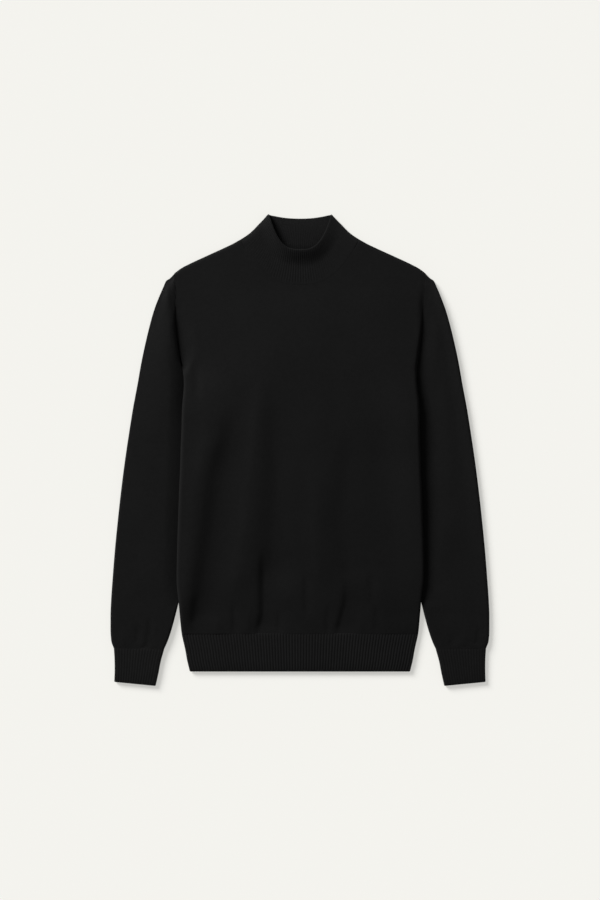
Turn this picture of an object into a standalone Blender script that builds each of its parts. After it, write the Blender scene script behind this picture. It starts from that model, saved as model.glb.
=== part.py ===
"""A fine-gauge knitted turtleneck sweater with set-in sleeves, laid flat on its back.

Metres, +Z up, +Y towards the neck, +X towards the wearer's left. The origin is on the
surface that the sweater lies on, under the middle of its outline. All the sizes below are
in millimetres and are turned into metres where a mesh is made.

Eight pieces: front, back, two sleeves, two cuffs, hem rib and collar. Each is a knitted
wall with a real thickness. The sleeves lie flat on the surface, and the sides of the body
lie over their inner edges. The front and back meet in a fold along the sides and the
shoulders. The ribs are raised on the outside of their walls.
"""
import math

import bmesh
import bpy
import numpy as np

MM = 0.001                    # one millimetre in metres

# ---- cloth ----
KNIT_WALL = 1.6               # plain knit
RIB_WALL = 2.0                # hem and cuff rib, without the raised ribs
COLLAR_WALL = 2.8             # the collar's rib, doubled
RIB_HEIGHT = 0.7              # how far a rib stands out
RIB_PITCH = 4.35              # from one rib to the next
SEAM_GAP = 0.3                # between two pieces at a seam
ARMHOLE_GAP = 0.5             # the same round the armhole, whose two edges are divided apart
NECK_GAP = 0.45               # and round the neck
ARMPIT_CLEAR = 2.6            # the back's upright edge stays this far below the front's

# ---- lengths along the body ----
HEM_BOTTOM_Y = -348.4
HEM_SEAM_Y = -289.9
ARMPIT_Y = 124.5
SHOULDER_END_Y = 279.8
NECK_POINT_X = 93.3
NECK_POINT_Y = 332.6
FRONT_NECK_Y = 261.5
BACK_NECK_Y = 305.0

# Half the width of the body: the armhole line down to the armpit, then the side fold.
BODY_SIDE = {
    "y":     [279.8, 262.0, 237.8, 206.2, 190.4, 174.6, 158.8, 143.0, 125.6, 111.4, 95.6, 79.8,
              56.0, 32.4, 0.8, -30.8, -62.4, -109.8, -157.2, -188.8, -204.6, -228.3, -242.5,
              -252.0, -267.8, -289.9, -299.4, -315.2, -331.0, -348.4],
    "width": [198.3, 197.2, 196.2, 195.2, 194.1, 192.4, 190.2, 188.0, 185.0, 184.0, 184.7, 186.4,
              187.6, 188.0, 189.1, 190.0, 191.4, 193.0, 194.5, 195.1, 194.8, 192.6, 191.1,
              190.4, 189.2, 187.0, 185.0, 181.4, 178.6, 174.4],
}
# The shoulder line from the sleeve to the neck point.
SHOULDER = {
    "x": [198.3, 195.8, 187.0, 175.0, 148.0, 119.8, 105.6, 93.3],
    "y": [279.8, 282.0, 288.4, 294.7, 307.3, 320.0, 326.3, 332.6],
}
# The sleeve, a row for each of its sections from the armhole to the cuff: the section runs
# from the outer fold to the inner fold, which lies under the body.
SLEEVE = {
    "outer_x": [198.8, 206.0, 211.4, 216.0, 223.4, 230.7, 237.5, 244.4, 251.1, 256.9, 264.0,
                270.8, 277.3, 283.3, 288.5, 292.8, 296.3, 298.6, 299.6, 299.6, 298.4, 294.7],
    "outer_y": [279.6, 272.2, 268.6, 259.0, 241.5, 222.0, 198.3, 169.9, 138.3, 105.1, 67.2,
                24.5, -19.8, -67.2, -114.6, -158.8, -203.0, -236.2, -261.5, -283.6, -301.0,
                -312.0],
    "inner_x": [185.9, 185.0, 183.6, 181.4, 177.8, 172.9, 166.6, 159.0, 151.9, 148.0, 148.0,
                151.9, 157.4, 163.0, 169.3, 176.4, 185.6, 192.3, 197.9, 203.6, 209.6, 215.0],
    "inner_y": [124.0, 121.0, 117.0, 110.0, 98.5, 84.5, 67.2, 46.6, 24.5, 0.8, -24.5,
                -52.9, -83.0, -114.6, -149.3, -184.1, -217.3, -242.5, -264.7, -285.2, -302.6,
                -314.4],
}
ARMHOLE_TOP = np.array([SLEEVE["outer_x"][0], SLEEVE["outer_y"][0]])
ARMHOLE_FOOT = np.array([SLEEVE["inner_x"][0], SLEEVE["inner_y"][0]])
# The cuff, a row for each of its sections down to the wrist opening.
CUFF = {
    "outer_x": [294.3, 293.2, 293.0, 293.6],
    "outer_y": [-312.3, -331.0, -347.0, -364.2],
    "inner_x": [215.1, 220.6, 223.8, 228.2],
    "inner_y": [-314.7, -334.0, -351.6, -370.5],
}

# ---- heights above the surface ----
# Top of the front along the middle of the body, which lies a little puffed up.
FRONT_LEVEL = {
    "y":   [332.6, 262.0, 230.0, 200.0, 120.0, 0.0, -150.0, -225.0, -262.0, -289.9],
    "top": [8.4, 8.8, 10.2, 11.4, 12.2, 12.0, 11.2, 10.0, 8.8, 7.6],
}
SLEEVE_TOP = 9.0              # top of a sleeve where it shows
SLEEVE_END_TOP = 8.0          # and at its cuff
CUFF_TOP = 7.6
HEM_TOP = 7.2
HEM_SWELL = 0.6
GROOVE_TOP = 4.8              # bottom of the groove along the armhole
# Along the side edge of the body: the top of the sleeve there, how far the back is lifted
# over it, and the top of the front just inside its edge at +X and at -X.
SIDE_HEIGHTS = {
    "y":        [279.8, 262.0, 240.0, 215.0, 174.6, 150.9, 136.0, 125.6, 113.0, 79.8, 48.0,
                 -204.9, -236.2, -261.0, -289.9],
    "sleeve":   [4.8, 4.8, 4.8, 4.8, 4.8, 4.8, 4.4, 4.0, 4.2, 5.2, 5.8, 5.8, 6.0, 7.0, 7.0],
    "back":     [0.0, 0.0, 0.0, 0.0, 0.0, 0.0, 1.8, 4.8, 5.1, 5.9, 6.5, 6.5, 6.3, 2.6, 0.0],
    "front +x": [8.6, 8.6, 8.8, 9.0, 9.4, 10.4, 12.0, 13.2, 13.6, 14.8, 15.8, 15.2, 14.4, 11.0,
                 7.6],
    "front -x": [8.6, 8.6, 8.8, 9.0, 9.4, 10.4, 12.2, 13.6, 14.2, 16.0, 17.8, 18.2, 17.4, 13.0,
                 8.2],
}
# The slope between the middle of the front and its sides, which lie on the sleeves: how far
# from the middle it starts and ends.
RISE = {
    "y":        [272.0, 190.0, 130.0, 80.0, 16.0, -46.0, -110.0, -173.0, -236.0, -268.0,
                 -290.0],
    "start +x": [15.0, 15.0, 60.0, 112.0, 112.0, 112.0, 114.0, 118.0, 126.0, 132.0, 136.0],
    "end +x":   [186.0, 184.0, 180.0, 172.0, 168.0, 168.0, 170.0, 174.0, 178.0, 180.0, 180.0],
    "start -x": [15.0, 15.0, 60.0, 84.0, 92.0, 104.0, 108.0, 118.0, 129.0, 146.0, 156.0],
    "end -x":   [186.0, 184.0, 170.0, 152.0, 153.0, 170.0, 178.0, 183.0, 186.0, 188.0, 186.0],
}
RISE_POWER = 1.25             # makes the slope steeper towards its end
SIDE_FOLD = 4.6               # width of the rounded fold along the sides
GROOVE_WIDTH = 7.0            # width of the slope into the armhole groove
SHOULDER_FOLD = 4.4
BACK_RAMP = 32.0              # the back starts to climb this far inside a sleeve's fold
BACK_RAMP_END = 7.0           # and is on the sleeve's level this far inside it
SLEEVE_SLOPE = 14.0           # a sleeve rises to its full height over this width
EDGE_CLEAR = 0.6              # and starts to rise this far outside the body's edge
ARMHOLE_ROWS = 4              # this many sections ease from the armhole's curve to straight
SLEEVE_FREE_Y = (-256.0, -232.0)    # a sleeve comes out from under the body here
SLEEVE_END_Y = (-312.0, -280.0)     # and thins towards its cuff here
EDGE_SHARE_LIMITS = (0.66, 0.9)
ARMPIT_BLEND = 8.0            # the groove turns into the side fold this far round the armpit
NECK_BLEND = (-10.0, 1.0)     # the neck's edge turns into the shoulder fold round its point

# The largest creases of the front: troughs are negative. Each runs from its top down
# to its foot through a middle point.
CREASES = {
    "name":   ["left ridge", "waist trough", "middle ridge", "slim ridge", "right trough",
               "right ridge"],
    "top":    [(-82.0, 60.0), (-40.0, 70.0), (-13.0, 20.0), (28.0, -20.0), (73.0, 40.0),
               (104.0, -20.0)],
    "middle": [(-88.0, -110.0), (-47.0, -110.0), (-14.0, -120.0), (28.0, -140.0),
               (70.0, -130.0), (103.0, -130.0)],
    "foot":   [(-100.0, -264.0), (-59.0, -285.0), (-18.0, -262.0), (30.0, -240.0),
               (72.0, -285.0), (106.0, -256.0)],
    "height": [1.2, -2.4, 0.8, 0.7, -2.2, 0.6],
    "width":  [19.0, 17.0, 17.0, 13.0, 19.0, 20.0],
}
CREASE_FADE = (8.0, 0.1, 0.5)       # past the foot in mm, above it and below the top in shares

# ---- collar ----
# Its side edge, from the seam up to the rim, as seen from above.
COLLAR_SIDE = {
    "x": [93.0, 81.6, 73.4, 66.4, 59.4, 52.4],
    "y": [333.05, 340.5, 348.0, 355.5, 363.0, 370.5],
}
COLLAR_RIM_FRONT_Y = 318.0
COLLAR_RIM_BACK_Y = 366.4
COLLAR_FRONT_EASE = 0.05      # its sections spread apart a little at the front
COLLAR_BASE_TOP = 8.4
COLLAR_SIDE_TOP = 8.4
COLLAR_SIDE_LIFT = 1.6
COLLAR_RIM_FRONT_TOP = 20.0   # the front of the rim stands up off the back
COLLAR_LIFT_SHARES = (0.35, 1.08)   # over these shares of its height, from the seam up

# How full the curves of the necklines are: 2 is a parabola, more is fuller at its ends.
FRONT_NECK_POWER = 2.6
BACK_NECK_POWER = 2.2
COLLAR_RIM_POWER = 3.0
COLLAR_TOP_POWER = 0.8        # how the collar's height falls off from its middle to its sides

# ---- how finely each piece is divided ----
FRONT_COLUMNS = 34
BACK_COLUMNS = 20
NECK_POINTS = 40
SHOULDER_POINTS = 60
PANEL_ROWS = {                # the rows of both panels, closer where they climb or turn
    "up_to_y": [-204.9, 48.0, 124.5, 150.9, 279.8],
    "steps":   [5, 8, 4, 2, 6],
}
FOLD_STEPS = 3
SLEEVE_SHOWN_STEPS = 5        # across a sleeve's upper side, outside the body
SLEEVE_HIDDEN_STEPS = 2       # and under it
SLEEVE_UNDER_STEPS = 4
COLLAR_BACK_STEPS = 16
HEM_ROWS = 2
HEM_UNDER_STEPS = 18
CUFF_UNDER_STEPS = 4
RIB_COARSE = 4                # inner points are this many outer points apart

KNIT_COLOUR = (0.0089, 0.0087, 0.0085, 1.0)
RIB_COLOUR = (0.0096, 0.0094, 0.0091, 1.0)


# ---------------------------------------------------------------- curves and steps

def smooth_table(xs, ys, x):
    """A smooth curve through a table's points that never overshoots them."""
    xs = np.asarray(xs, float)
    ys = np.asarray(ys, float)
    if xs[0] > xs[-1]:
        xs, ys = xs[::-1], ys[::-1]
    h = np.diff(xs)
    slope = np.diff(ys) / h
    m = np.zeros(len(xs))
    m[0], m[-1] = slope[0], slope[-1]
    for i in range(1, len(xs) - 1):
        if slope[i - 1] * slope[i] > 0:
            w0 = 2 * h[i] + h[i - 1]
            w1 = h[i] + 2 * h[i - 1]
            m[i] = (w0 + w1) / (w0 / slope[i - 1] + w1 / slope[i])
    x = np.clip(x, xs[0], xs[-1])
    i = np.clip(np.searchsorted(xs, x, side="right") - 1, 0, len(h) - 1)
    t = (x - xs[i]) / h[i]
    a = ys[i] * (1 + 2 * t) * (1 - t) ** 2 + ys[i + 1] * t * t * (3 - 2 * t)
    b = h[i] * (m[i] * t * (1 - t) ** 2 - m[i + 1] * t * t * (1 - t))
    return a + b


def step(low, high, x):
    """Rises smoothly from 0 at low to 1 at high."""
    t = np.clip((x - low) / (high - low), 0.0, 1.0)
    return t * t * (3 - 2 * t)


def side_x(y):
    return smooth_table(BODY_SIDE["y"], BODY_SIDE["width"], y)


def side_height(column, y):
    return smooth_table(SIDE_HEIGHTS["y"], SIDE_HEIGHTS[column], y)


def sleeve_fold_x(y):
    """How far from the middle a sleeve's inner fold lies under the body."""
    hidden = smooth_table(SLEEVE["inner_y"], SLEEVE["inner_x"], y)
    return np.minimum(hidden, side_x(y))


# ---------------------------------------------------------------- heights of the layers

def back_under(x, y):
    """Underside of the back: on the surface, or lifted over a sleeve."""
    fold = sleeve_fold_x(y)
    return side_height("back", y) * step(fold - BACK_RAMP, fold - BACK_RAMP_END, np.abs(x))


def crease_height(x, y):
    """Sum of the front's troughs and ridges."""
    total = 0.0
    for i in range(len(CREASES["name"])):
        top, middle, foot = CREASES["top"][i], CREASES["middle"][i], CREASES["foot"][i]
        line = smooth_table([foot[1], middle[1], top[1]], [foot[0], middle[0], top[0]], y)
        run = top[1] - foot[1]
        past, above, below = CREASE_FADE
        at_foot = step(foot[1] - past, foot[1] + above * run, y)
        at_top = 1 - step(top[1] - below * run, top[1], y)
        across = np.exp(-((x - line) / CREASES["width"][i]) ** 2)
        total = total + CREASES["height"][i] * at_foot * at_top * across
    return total


def front_top(x, y):
    """Top of the front, without the folds along its edges."""
    level = smooth_table(FRONT_LEVEL["y"], FRONT_LEVEL["top"], y)
    total = level + crease_height(x, y)
    for side, name in ((1, " +x"), (-1, " -x")):
        start = smooth_table(RISE["y"], RISE["start" + name], y)
        end = smooth_table(RISE["y"], RISE["end" + name], y)
        share = np.clip((side * x - start) / (end - start), 0.0, 1.0)
        total = total + (side_height("front" + name, y) - level) * step(0, 1, share ** RISE_POWER)
    return total


def sleeve_top(x, y):
    """Top of a sleeve: pressed down beside and under the body, full elsewhere."""
    low = side_height("sleeve", y)
    full = SLEEVE_END_TOP + (SLEEVE_TOP - SLEEVE_END_TOP) * step(*SLEEVE_END_Y, y)
    clear_of_body = 1 - step(*SLEEVE_FREE_Y, y)
    out = np.maximum(step(EDGE_CLEAR, SLEEVE_SLOPE, np.abs(x) - side_x(y)), clear_of_body)
    return low + (full - low) * out


# ---------------------------------------------------------------- meshes

def make_object(name, verts, faces, colour):
    """A named object with its own material, from points in millimetres."""
    mesh = bpy.data.meshes.new(name)
    mesh.from_pydata([[c * MM for c in v] for v in verts], [], faces)
    bm = bmesh.new()
    bm.from_mesh(mesh)
    bmesh.ops.triangulate(bm, faces=[f for f in bm.faces if len(f.verts) > 3])
    bmesh.ops.recalc_face_normals(bm, faces=bm.faces)
    bm.to_mesh(mesh)
    bm.free()
    mesh.shade_smooth()
    mesh.set_sharp_from_angle(angle=math.radians(50))
    material = bpy.data.materials.new(name + "_knit")
    material.use_nodes = True
    shader = material.node_tree.nodes["Principled BSDF"]
    shader.inputs["Base Color"].default_value = colour
    shader.inputs["Roughness"].default_value = 0.9
    shader.inputs["Metallic"].default_value = 0.0
    mesh.materials.append(material)
    thing = bpy.data.objects.new(name, mesh)
    bpy.context.collection.objects.link(thing)
    return thing


def unit(v):
    return v / np.maximum(np.linalg.norm(v, axis=-1, keepdims=True), 1e-9)


def grid_normals(points, closed):
    """Normals of a grid of points, rows by columns, closed round its columns or not."""
    if closed:
        along = np.roll(points, -1, 1) - np.roll(points, 1, 1)
    else:
        along = np.gradient(points, axis=1)
    up = np.gradient(points, axis=0)
    return unit(np.cross(along, up))


def sheet_faces(rows, columns):
    """Faces of two equal open grids, outer first, joined round their four edges."""
    n = rows * columns
    faces = []
    for r in range(rows - 1):
        for c in range(columns - 1):
            a = r * columns + c
            faces.append((a, a + 1, a + columns + 1, a + columns))
            faces.append((a + n, a + n + columns, a + n + columns + 1, a + n + 1))
    edge = [c for c in range(columns)]
    edge += [r * columns + columns - 1 for r in range(1, rows)]
    edge += [(rows - 1) * columns + c for c in range(columns - 2, -1, -1)]
    edge += [r * columns for r in range(rows - 2, 0, -1)]
    for a, b in zip(edge, edge[1:] + edge[:1]):
        faces.append((a, a + n, b + n, b))
    return faces


def sheet_object(name, outer, inner, colour):
    rows, columns = outer.shape[:2]
    verts = np.concatenate([outer.reshape(-1, 3), inner.reshape(-1, 3)])
    return make_object(name, verts, sheet_faces(rows, columns), colour)


def stitch(loop_a, share_a, loop_b, share_b):
    """Triangles between two closed loops whose points lie at shares 0 to 1 of the way."""
    i = j = 0
    faces = []
    while i < len(loop_a) or j < len(loop_b):
        next_a = share_a[i + 1] if i + 1 < len(loop_a) else 1.0
        next_b = share_b[j + 1] if j + 1 < len(loop_b) else 1.0
        a, b = loop_a[i % len(loop_a)], loop_b[j % len(loop_b)]
        if j >= len(loop_b) or (i < len(loop_a) and next_a <= next_b):
            faces.append((a, loop_a[(i + 1) % len(loop_a)], b))
            i += 1
        else:
            faces.append((a, loop_b[(j + 1) % len(loop_b)], b))
            j += 1
    return faces


def tube_object(name, outer, outer_share, inner, inner_share, colour):
    """A closed wall round a tube that is open at both ends."""
    verts = np.concatenate([outer.reshape(-1, 3), inner.reshape(-1, 3)])
    faces = []
    loops = []
    start = 0
    for grid in (outer, inner):
        rows, columns = grid.shape[:2]
        loops.append([[start + r * columns + c for c in range(columns)] for r in range(rows)])
        for r in range(rows - 1):
            for c in range(columns):
                a = start + r * columns + c
                b = start + r * columns + (c + 1) % columns
                faces.append((a, b, b + columns, a + columns))
        start += rows * columns
    for end in (0, -1):
        faces += stitch(loops[0][end], outer_share, loops[1][end], inner_share)
    return make_object(name, verts, faces, colour)


# ---------------------------------------------------------------- body panels

def neckline_y(x, low_y, power):
    share = np.clip(np.abs(x) / NECK_POINT_X, 0.0, 1.0)
    return NECK_POINT_Y + (low_y - NECK_POINT_Y) * (1 - share ** power)


def panel_top_line(low_y, power, count):
    """Half of a panel's top edge, from the middle of the neckline to the shoulder's end."""
    neck_x = NECK_POINT_X * np.sin(np.linspace(0, math.pi / 2, NECK_POINTS))
    neck = np.stack([neck_x, neckline_y(neck_x, low_y, power)], 1)
    shoulder_x = np.linspace(NECK_POINT_X, SHOULDER["x"][0], SHOULDER_POINTS)[1:]
    shoulder = np.stack([shoulder_x, smooth_table(SHOULDER["x"], SHOULDER["y"], shoulder_x)], 1)
    line = np.concatenate([neck, shoulder])
    run = np.concatenate([[0], np.cumsum(np.linalg.norm(np.diff(line, axis=0), axis=1))])
    at = np.linspace(0, 1, count) * run[-1]
    neck_point = run[NECK_POINTS - 1]
    at[np.argmin(np.abs(at - neck_point))] = neck_point
    return np.stack([np.interp(at, run, line[:, 0]), np.interp(at, run, line[:, 1])], 1)


def panel_plan(columns, low_y, power):
    """Plan of a panel, rows by columns: its bottom, sides and top edge blended together."""
    half = columns // 2 + 1
    top_half = panel_top_line(low_y, power, half)
    top = np.concatenate([top_half[::-1] * [-1, 1], top_half[1:]])
    bottom_y = HEM_SEAM_Y + SEAM_GAP
    side_y = [bottom_y]
    for end_y, steps in zip(PANEL_ROWS["up_to_y"], PANEL_ROWS["steps"]):
        side_y += list(np.linspace(side_y[-1], end_y, steps + 1)[1:])
    side_y = np.array(side_y)
    rows = len(side_y) - 1
    v = (side_y - bottom_y) / (SHOULDER_END_Y - bottom_y)
    u = np.linspace(0, 1, columns + 1)
    plan = np.zeros((rows + 1, columns + 1, 2))
    for r in range(rows + 1):
        edge = side_x(side_y[r])
        level = edge * (2 * u - 1)
        ease = v[r] ** 1.6
        straight_top_x = top[:, 0] * edge / top[-1, 0]
        plan[r, :, 0] = level + (straight_top_x - level) * ease
        plan[r, :, 1] = side_y[r] + (top[:, 1] - SHOULDER_END_Y) * ease
    return plan


def insert_fold_lines(plan, side_width, top_width):
    """Adds fold lines close to the side edges and the top edge of a panel's plan.

    Also returns each point's place in the side folds and in the top fold: 1 on the edge,
    0 where the fold ends.
    """
    angles = np.linspace(math.pi / 2, 0, FOLD_STEPS + 1)
    places = 1 - np.sin(angles)                       # 0 on the edge, 1 where the fold ends

    def fold_columns(grid, width):
        edge, inside = grid[:, 0], grid[:, 1]
        away = unit(inside - edge)
        return [edge + away * (width * p)[:, None] for p in places]

    left = fold_columns(plan, side_width)
    right = fold_columns(plan[:, ::-1], side_width)
    plan = np.stack(left + [plan[:, c] for c in range(1, plan.shape[1] - 1)] + right[::-1], 1)
    side_place = np.zeros(plan.shape[:2])
    for i, a in enumerate(angles):
        side_place[:, i] = math.sin(a)
        side_place[:, -1 - i] = math.sin(a)

    edge, inside = plan[-1], plan[-2]
    away = unit(inside - edge)
    lines = [edge + away * (top_width * p) for p in places]
    plan = np.concatenate([plan[:-1], np.stack(lines[::-1])])
    side_place = np.concatenate([side_place[:-1], np.repeat(side_place[-1:], FOLD_STEPS + 1, 0)])
    top_place = np.zeros(plan.shape[:2])
    for i, a in enumerate(angles):
        top_place[-1 - i] = math.sin(a)
    return plan, side_place, top_place


def fold_drop(place):
    """Share of a fold's height that is lost at each point: 1 on the edge, 0 inside."""
    return 1 - np.sqrt(1 - np.minimum(place, 1.0) ** 2)


def panel_edge_normals(normals, plan, turned_side, turned_top, down):
    """Where a panel turns over at its edge its wall ends level; elsewhere it ends upright."""
    upright = np.array([0.0, 0.0, down])
    for column, sign in ((0, -1.0), (-1, 1.0)):
        turned = turned_side[:, None]
        normals[:, column] = unit(turned * np.array([sign, 0, 0]) + (1 - turned) * upright)
    tangent = np.gradient(plan[-1], axis=0)
    outward = unit(np.stack([-tangent[:, 1], tangent[:, 0], np.zeros(len(tangent))], 1))
    turned = turned_top[:, None]
    normals[-1] = unit(turned * outward + (1 - turned) * upright)
    normals[0, :, 1] = 0.0
    return unit(normals)


def side_turn(y):
    """1 where the front and back meet in a fold along the side, 0 along the armhole."""
    return 1 - step(ARMPIT_Y - ARMPIT_BLEND, ARMPIT_Y + ARMPIT_BLEND, y)


def edge_level(x, y):
    """Height at which the front ends: at the fold's middle, or in the armhole groove."""
    middle = (front_top(x, y) + back_under(x, y) + SEAM_GAP) / 2
    turn = side_turn(y)
    return middle * turn + GROOVE_TOP * (1 - turn)


def shoulder_turn(x):
    """1 where the front and back meet along the shoulder, 0 along the neckline."""
    return step(NECK_POINT_X + NECK_BLEND[0], NECK_POINT_X + NECK_BLEND[1], np.abs(x))


def make_front():
    plan = panel_plan(FRONT_COLUMNS, FRONT_NECK_Y, FRONT_NECK_POWER)
    edge_y = plan[:, 0, 1]
    turn = side_turn(edge_y)
    width = SIDE_FOLD * turn + GROOVE_WIDTH * (1 - turn)
    plan, side_place, top_place = insert_fold_lines(plan, width, SHOULDER_FOLD)
    x, y = plan[..., 0], plan[..., 1]
    top = front_top(x, y)
    middle = (top + back_under(x, y) + SEAM_GAP) / 2
    at_shoulder = shoulder_turn(x)
    side_drop = (top - edge_level(x, y)) * fold_drop(side_place)
    top_drop = (top - middle) * at_shoulder * fold_drop(top_place)
    z = top - np.maximum(side_drop, top_drop)
    outer = np.stack([x, y, z], 2)
    normals = grid_normals(outer, False)
    normals = panel_edge_normals(normals, plan, np.ones(len(plan)), at_shoulder[-1], 1.0)
    return sheet_object("front", outer, outer - KNIT_WALL * normals, KNIT_COLOUR)


def make_back():
    plan = panel_plan(BACK_COLUMNS, BACK_NECK_Y, BACK_NECK_POWER)
    width = np.full(len(plan), SIDE_FOLD)
    plan, side_place, top_place = insert_fold_lines(plan, width, SHOULDER_FOLD)
    x, y = plan[..., 0], plan[..., 1]
    under = back_under(x, y)
    middle = (front_top(x, y) + under - SEAM_GAP) / 2
    turn = side_turn(y)
    level = edge_level(x, y) - SEAM_GAP - ARMPIT_CLEAR * (1 - turn)
    at_shoulder = shoulder_turn(x)
    side_rise = (level - under) * turn * fold_drop(side_place)
    top_rise = (middle - under) * at_shoulder * fold_drop(top_place)
    z = under + np.maximum(side_rise, top_rise)
    outer = np.stack([x, y, z], 2)
    normals = -grid_normals(outer, False)
    normals = panel_edge_normals(normals, plan, turn[:, 0], at_shoulder[-1], -1.0)
    return sheet_object("back", outer, outer - KNIT_WALL * normals, KNIT_COLOUR)


# ---------------------------------------------------------------- flat tubes

def flat_ring(width, top, top_share, under_share):
    """A flat tube's section: for each share across it, its place across and its height.

    top is its height at each share of the upper side. The two side folds are half circles.
    """
    radius_a, radius_b = top[0] / 2, top[-1] / 2
    turns = np.linspace(0, math.pi / 2, FOLD_STEPS + 1)
    across, height = [], []
    for a in turns[:-1]:
        across.append(radius_a * (1 - math.cos(a)))
        height.append(radius_a * (1 + math.sin(a)))
    across += list(radius_a + (width - radius_a - radius_b) * top_share)
    height += list(top)
    for a in turns[::-1][1:]:
        across.append(width - radius_b * (1 - math.cos(a)))
        height.append(radius_b * (1 + math.sin(a)))
    for a in turns[1:-1]:
        across.append(width - radius_b * (1 - math.cos(a)))
        height.append(radius_b * (1 - math.sin(a)))
    across += list(radius_a + (width - radius_a - radius_b) * (1 - under_share))
    height += [0.0] * len(under_share)
    for a in turns[::-1][1:-1]:
        across.append(radius_a * (1 - math.cos(a)))
        height.append(radius_a * (1 - math.sin(a)))
    return np.array(across), np.array(height)


def ring_inside(across, height, wall):
    """The same section moved in by the wall's thickness."""
    points = np.stack([across, height], 1)
    along = np.roll(points, -1, 0) - np.roll(points, 1, 0)
    inward = unit(np.stack([along[:, 1], -along[:, 0]], 1))
    return points + wall * inward


def body_edge_share(outer, inner):
    """How far across a sleeve's section the side of the body starts to lie on it."""
    shares = np.linspace(0.0, 1.0, 201)
    line = outer + (inner - outer) * shares[:, None]
    beside = np.abs(line[:, 0] - side_x(line[:, 1]) - EDGE_CLEAR)
    return float(np.clip(shares[np.argmin(beside)], *EDGE_SHARE_LIMITS))


def sleeve_ring(row, side, armhole_share):
    """One section of a sleeve. armhole_share is 1 where it follows the armhole line."""
    outer = np.array([SLEEVE["outer_x"][row], SLEEVE["outer_y"][row]])
    inner = np.array([SLEEVE["inner_x"][row], SLEEVE["inner_y"][row]])
    width = np.linalg.norm(inner - outer)
    edge = body_edge_share(outer, inner)
    top_share = np.concatenate([np.linspace(0, edge, SLEEVE_SHOWN_STEPS + 1),
                                np.linspace(edge, 1, SLEEVE_HIDDEN_STEPS + 1)[1:]])
    under_share = np.linspace(0, 1, SLEEVE_UNDER_STEPS + 1)

    def plan(across):
        share = (across / width)[:, None]
        line = outer + (inner - outer) * share
        chord = ARMHOLE_TOP + (ARMHOLE_FOOT - ARMHOLE_TOP) * share
        bend = side_x(chord[:, 1]) + ARMHOLE_GAP - chord[:, 0]
        line[:, 0] += bend * armhole_share
        return line

    full = np.full(len(top_share), SLEEVE_TOP)
    for _ in range(3):
        radius_a, radius_b = full[0] / 2, full[-1] / 2
        place = plan(radius_a + (width - radius_a - radius_b) * top_share)
        full = sleeve_top(place[:, 0], place[:, 1])
    across, height = flat_ring(width, full, top_share, under_share)
    inside = ring_inside(across, height, KNIT_WALL)
    rings = []
    for a, h in ((across, height), (inside[:, 0], inside[:, 1])):
        line = plan(a)
        rings.append(np.stack([side * line[:, 0], line[:, 1], h], 1))
    return rings


def make_sleeve(name, side):
    """A sleeve from the armhole to the cuff, on the side where x has the given sign."""
    count = len(SLEEVE["outer_x"])
    rings = []
    for row in range(count):
        rings.append(sleeve_ring(row, side, max(0.0, 1 - row / ARMHOLE_ROWS)))
    outer = np.stack([r[0] for r in rings])
    inner = np.stack([r[1] for r in rings])
    share = np.linspace(0, 1, outer.shape[1] + 1)[:-1]
    return tube_object(name, outer, share, inner, share, KNIT_COLOUR)


def ribbed_ring(outer_end, inner_end, top, ribs, under_steps):
    """A section of a flat ribbed band between two ends of its plan line.

    Returns the outer points, ribbed on the upper side, and the plain inner points, with
    each one's share of the way round.
    """
    outer_end, inner_end = np.array(outer_end), np.array(inner_end)
    width = np.linalg.norm(inner_end - outer_end)
    way = (inner_end - outer_end) / width
    rings = []
    for steps, raised in ((2 * ribs, True), (2 * ribs // RIB_COARSE, False)):
        top_share = np.linspace(0, 1, steps + 1)
        under_share = np.linspace(0, 1, under_steps + 1)
        across, height = flat_ring(width, np.full(steps + 1, top), top_share, under_share)
        if raised:
            height[FOLD_STEPS + 1:FOLD_STEPS + steps:2] += RIB_HEIGHT
        else:
            inside = ring_inside(across, height, RIB_WALL)
            across, height = inside[:, 0], inside[:, 1]
        share = ring_share(steps, under_steps)
        plan = outer_end + way * across[:, None]
        rings.append((np.column_stack([plan, height]), share))
    return rings


def ring_share(top_steps, under_steps):
    """Shares of the way round for the points of flat_ring, the same for any fineness."""
    fold = 0.06
    upper = 0.38
    share = list(np.linspace(0, fold, FOLD_STEPS, endpoint=False))
    share += list(fold + upper * np.linspace(0, 1, top_steps + 1))
    share += list(fold + upper + 2 * fold * np.linspace(0, 1, 2 * FOLD_STEPS + 1)[1:-1])
    share += list(3 * fold + upper + upper * np.linspace(0, 1, under_steps + 1))
    left = 1 - share[-1]
    share += list(share[-1] + left * np.linspace(0, 1, FOLD_STEPS + 1)[1:-1])
    return np.array(share)


def make_band(name, ends, tops, ribs, under_steps):
    """A ribbed tube through the sections given by their two ends and heights."""
    outer, inner = [], []
    for (outer_end, inner_end), top in zip(ends, tops):
        (a, outer_share), (b, inner_share) = ribbed_ring(outer_end, inner_end, top, ribs,
                                                         under_steps)
        outer.append(a)
        inner.append(b)
    return tube_object(name, np.stack(outer), outer_share, np.stack(inner), inner_share,
                       RIB_COLOUR)


def make_hem():
    ys = np.linspace(HEM_SEAM_Y, HEM_BOTTOM_Y, HEM_ROWS + 1)
    ends = [((-side_x(y), y), (side_x(y), y)) for y in ys]
    ribs = int(round(2 * side_x(-315.0) / RIB_PITCH / 2)) * 2
    tops = HEM_TOP + HEM_SWELL * np.sin(math.pi * np.linspace(0.25, 1, HEM_ROWS + 1))
    return make_band("hem_rib", ends, tops, ribs, HEM_UNDER_STEPS)


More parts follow.
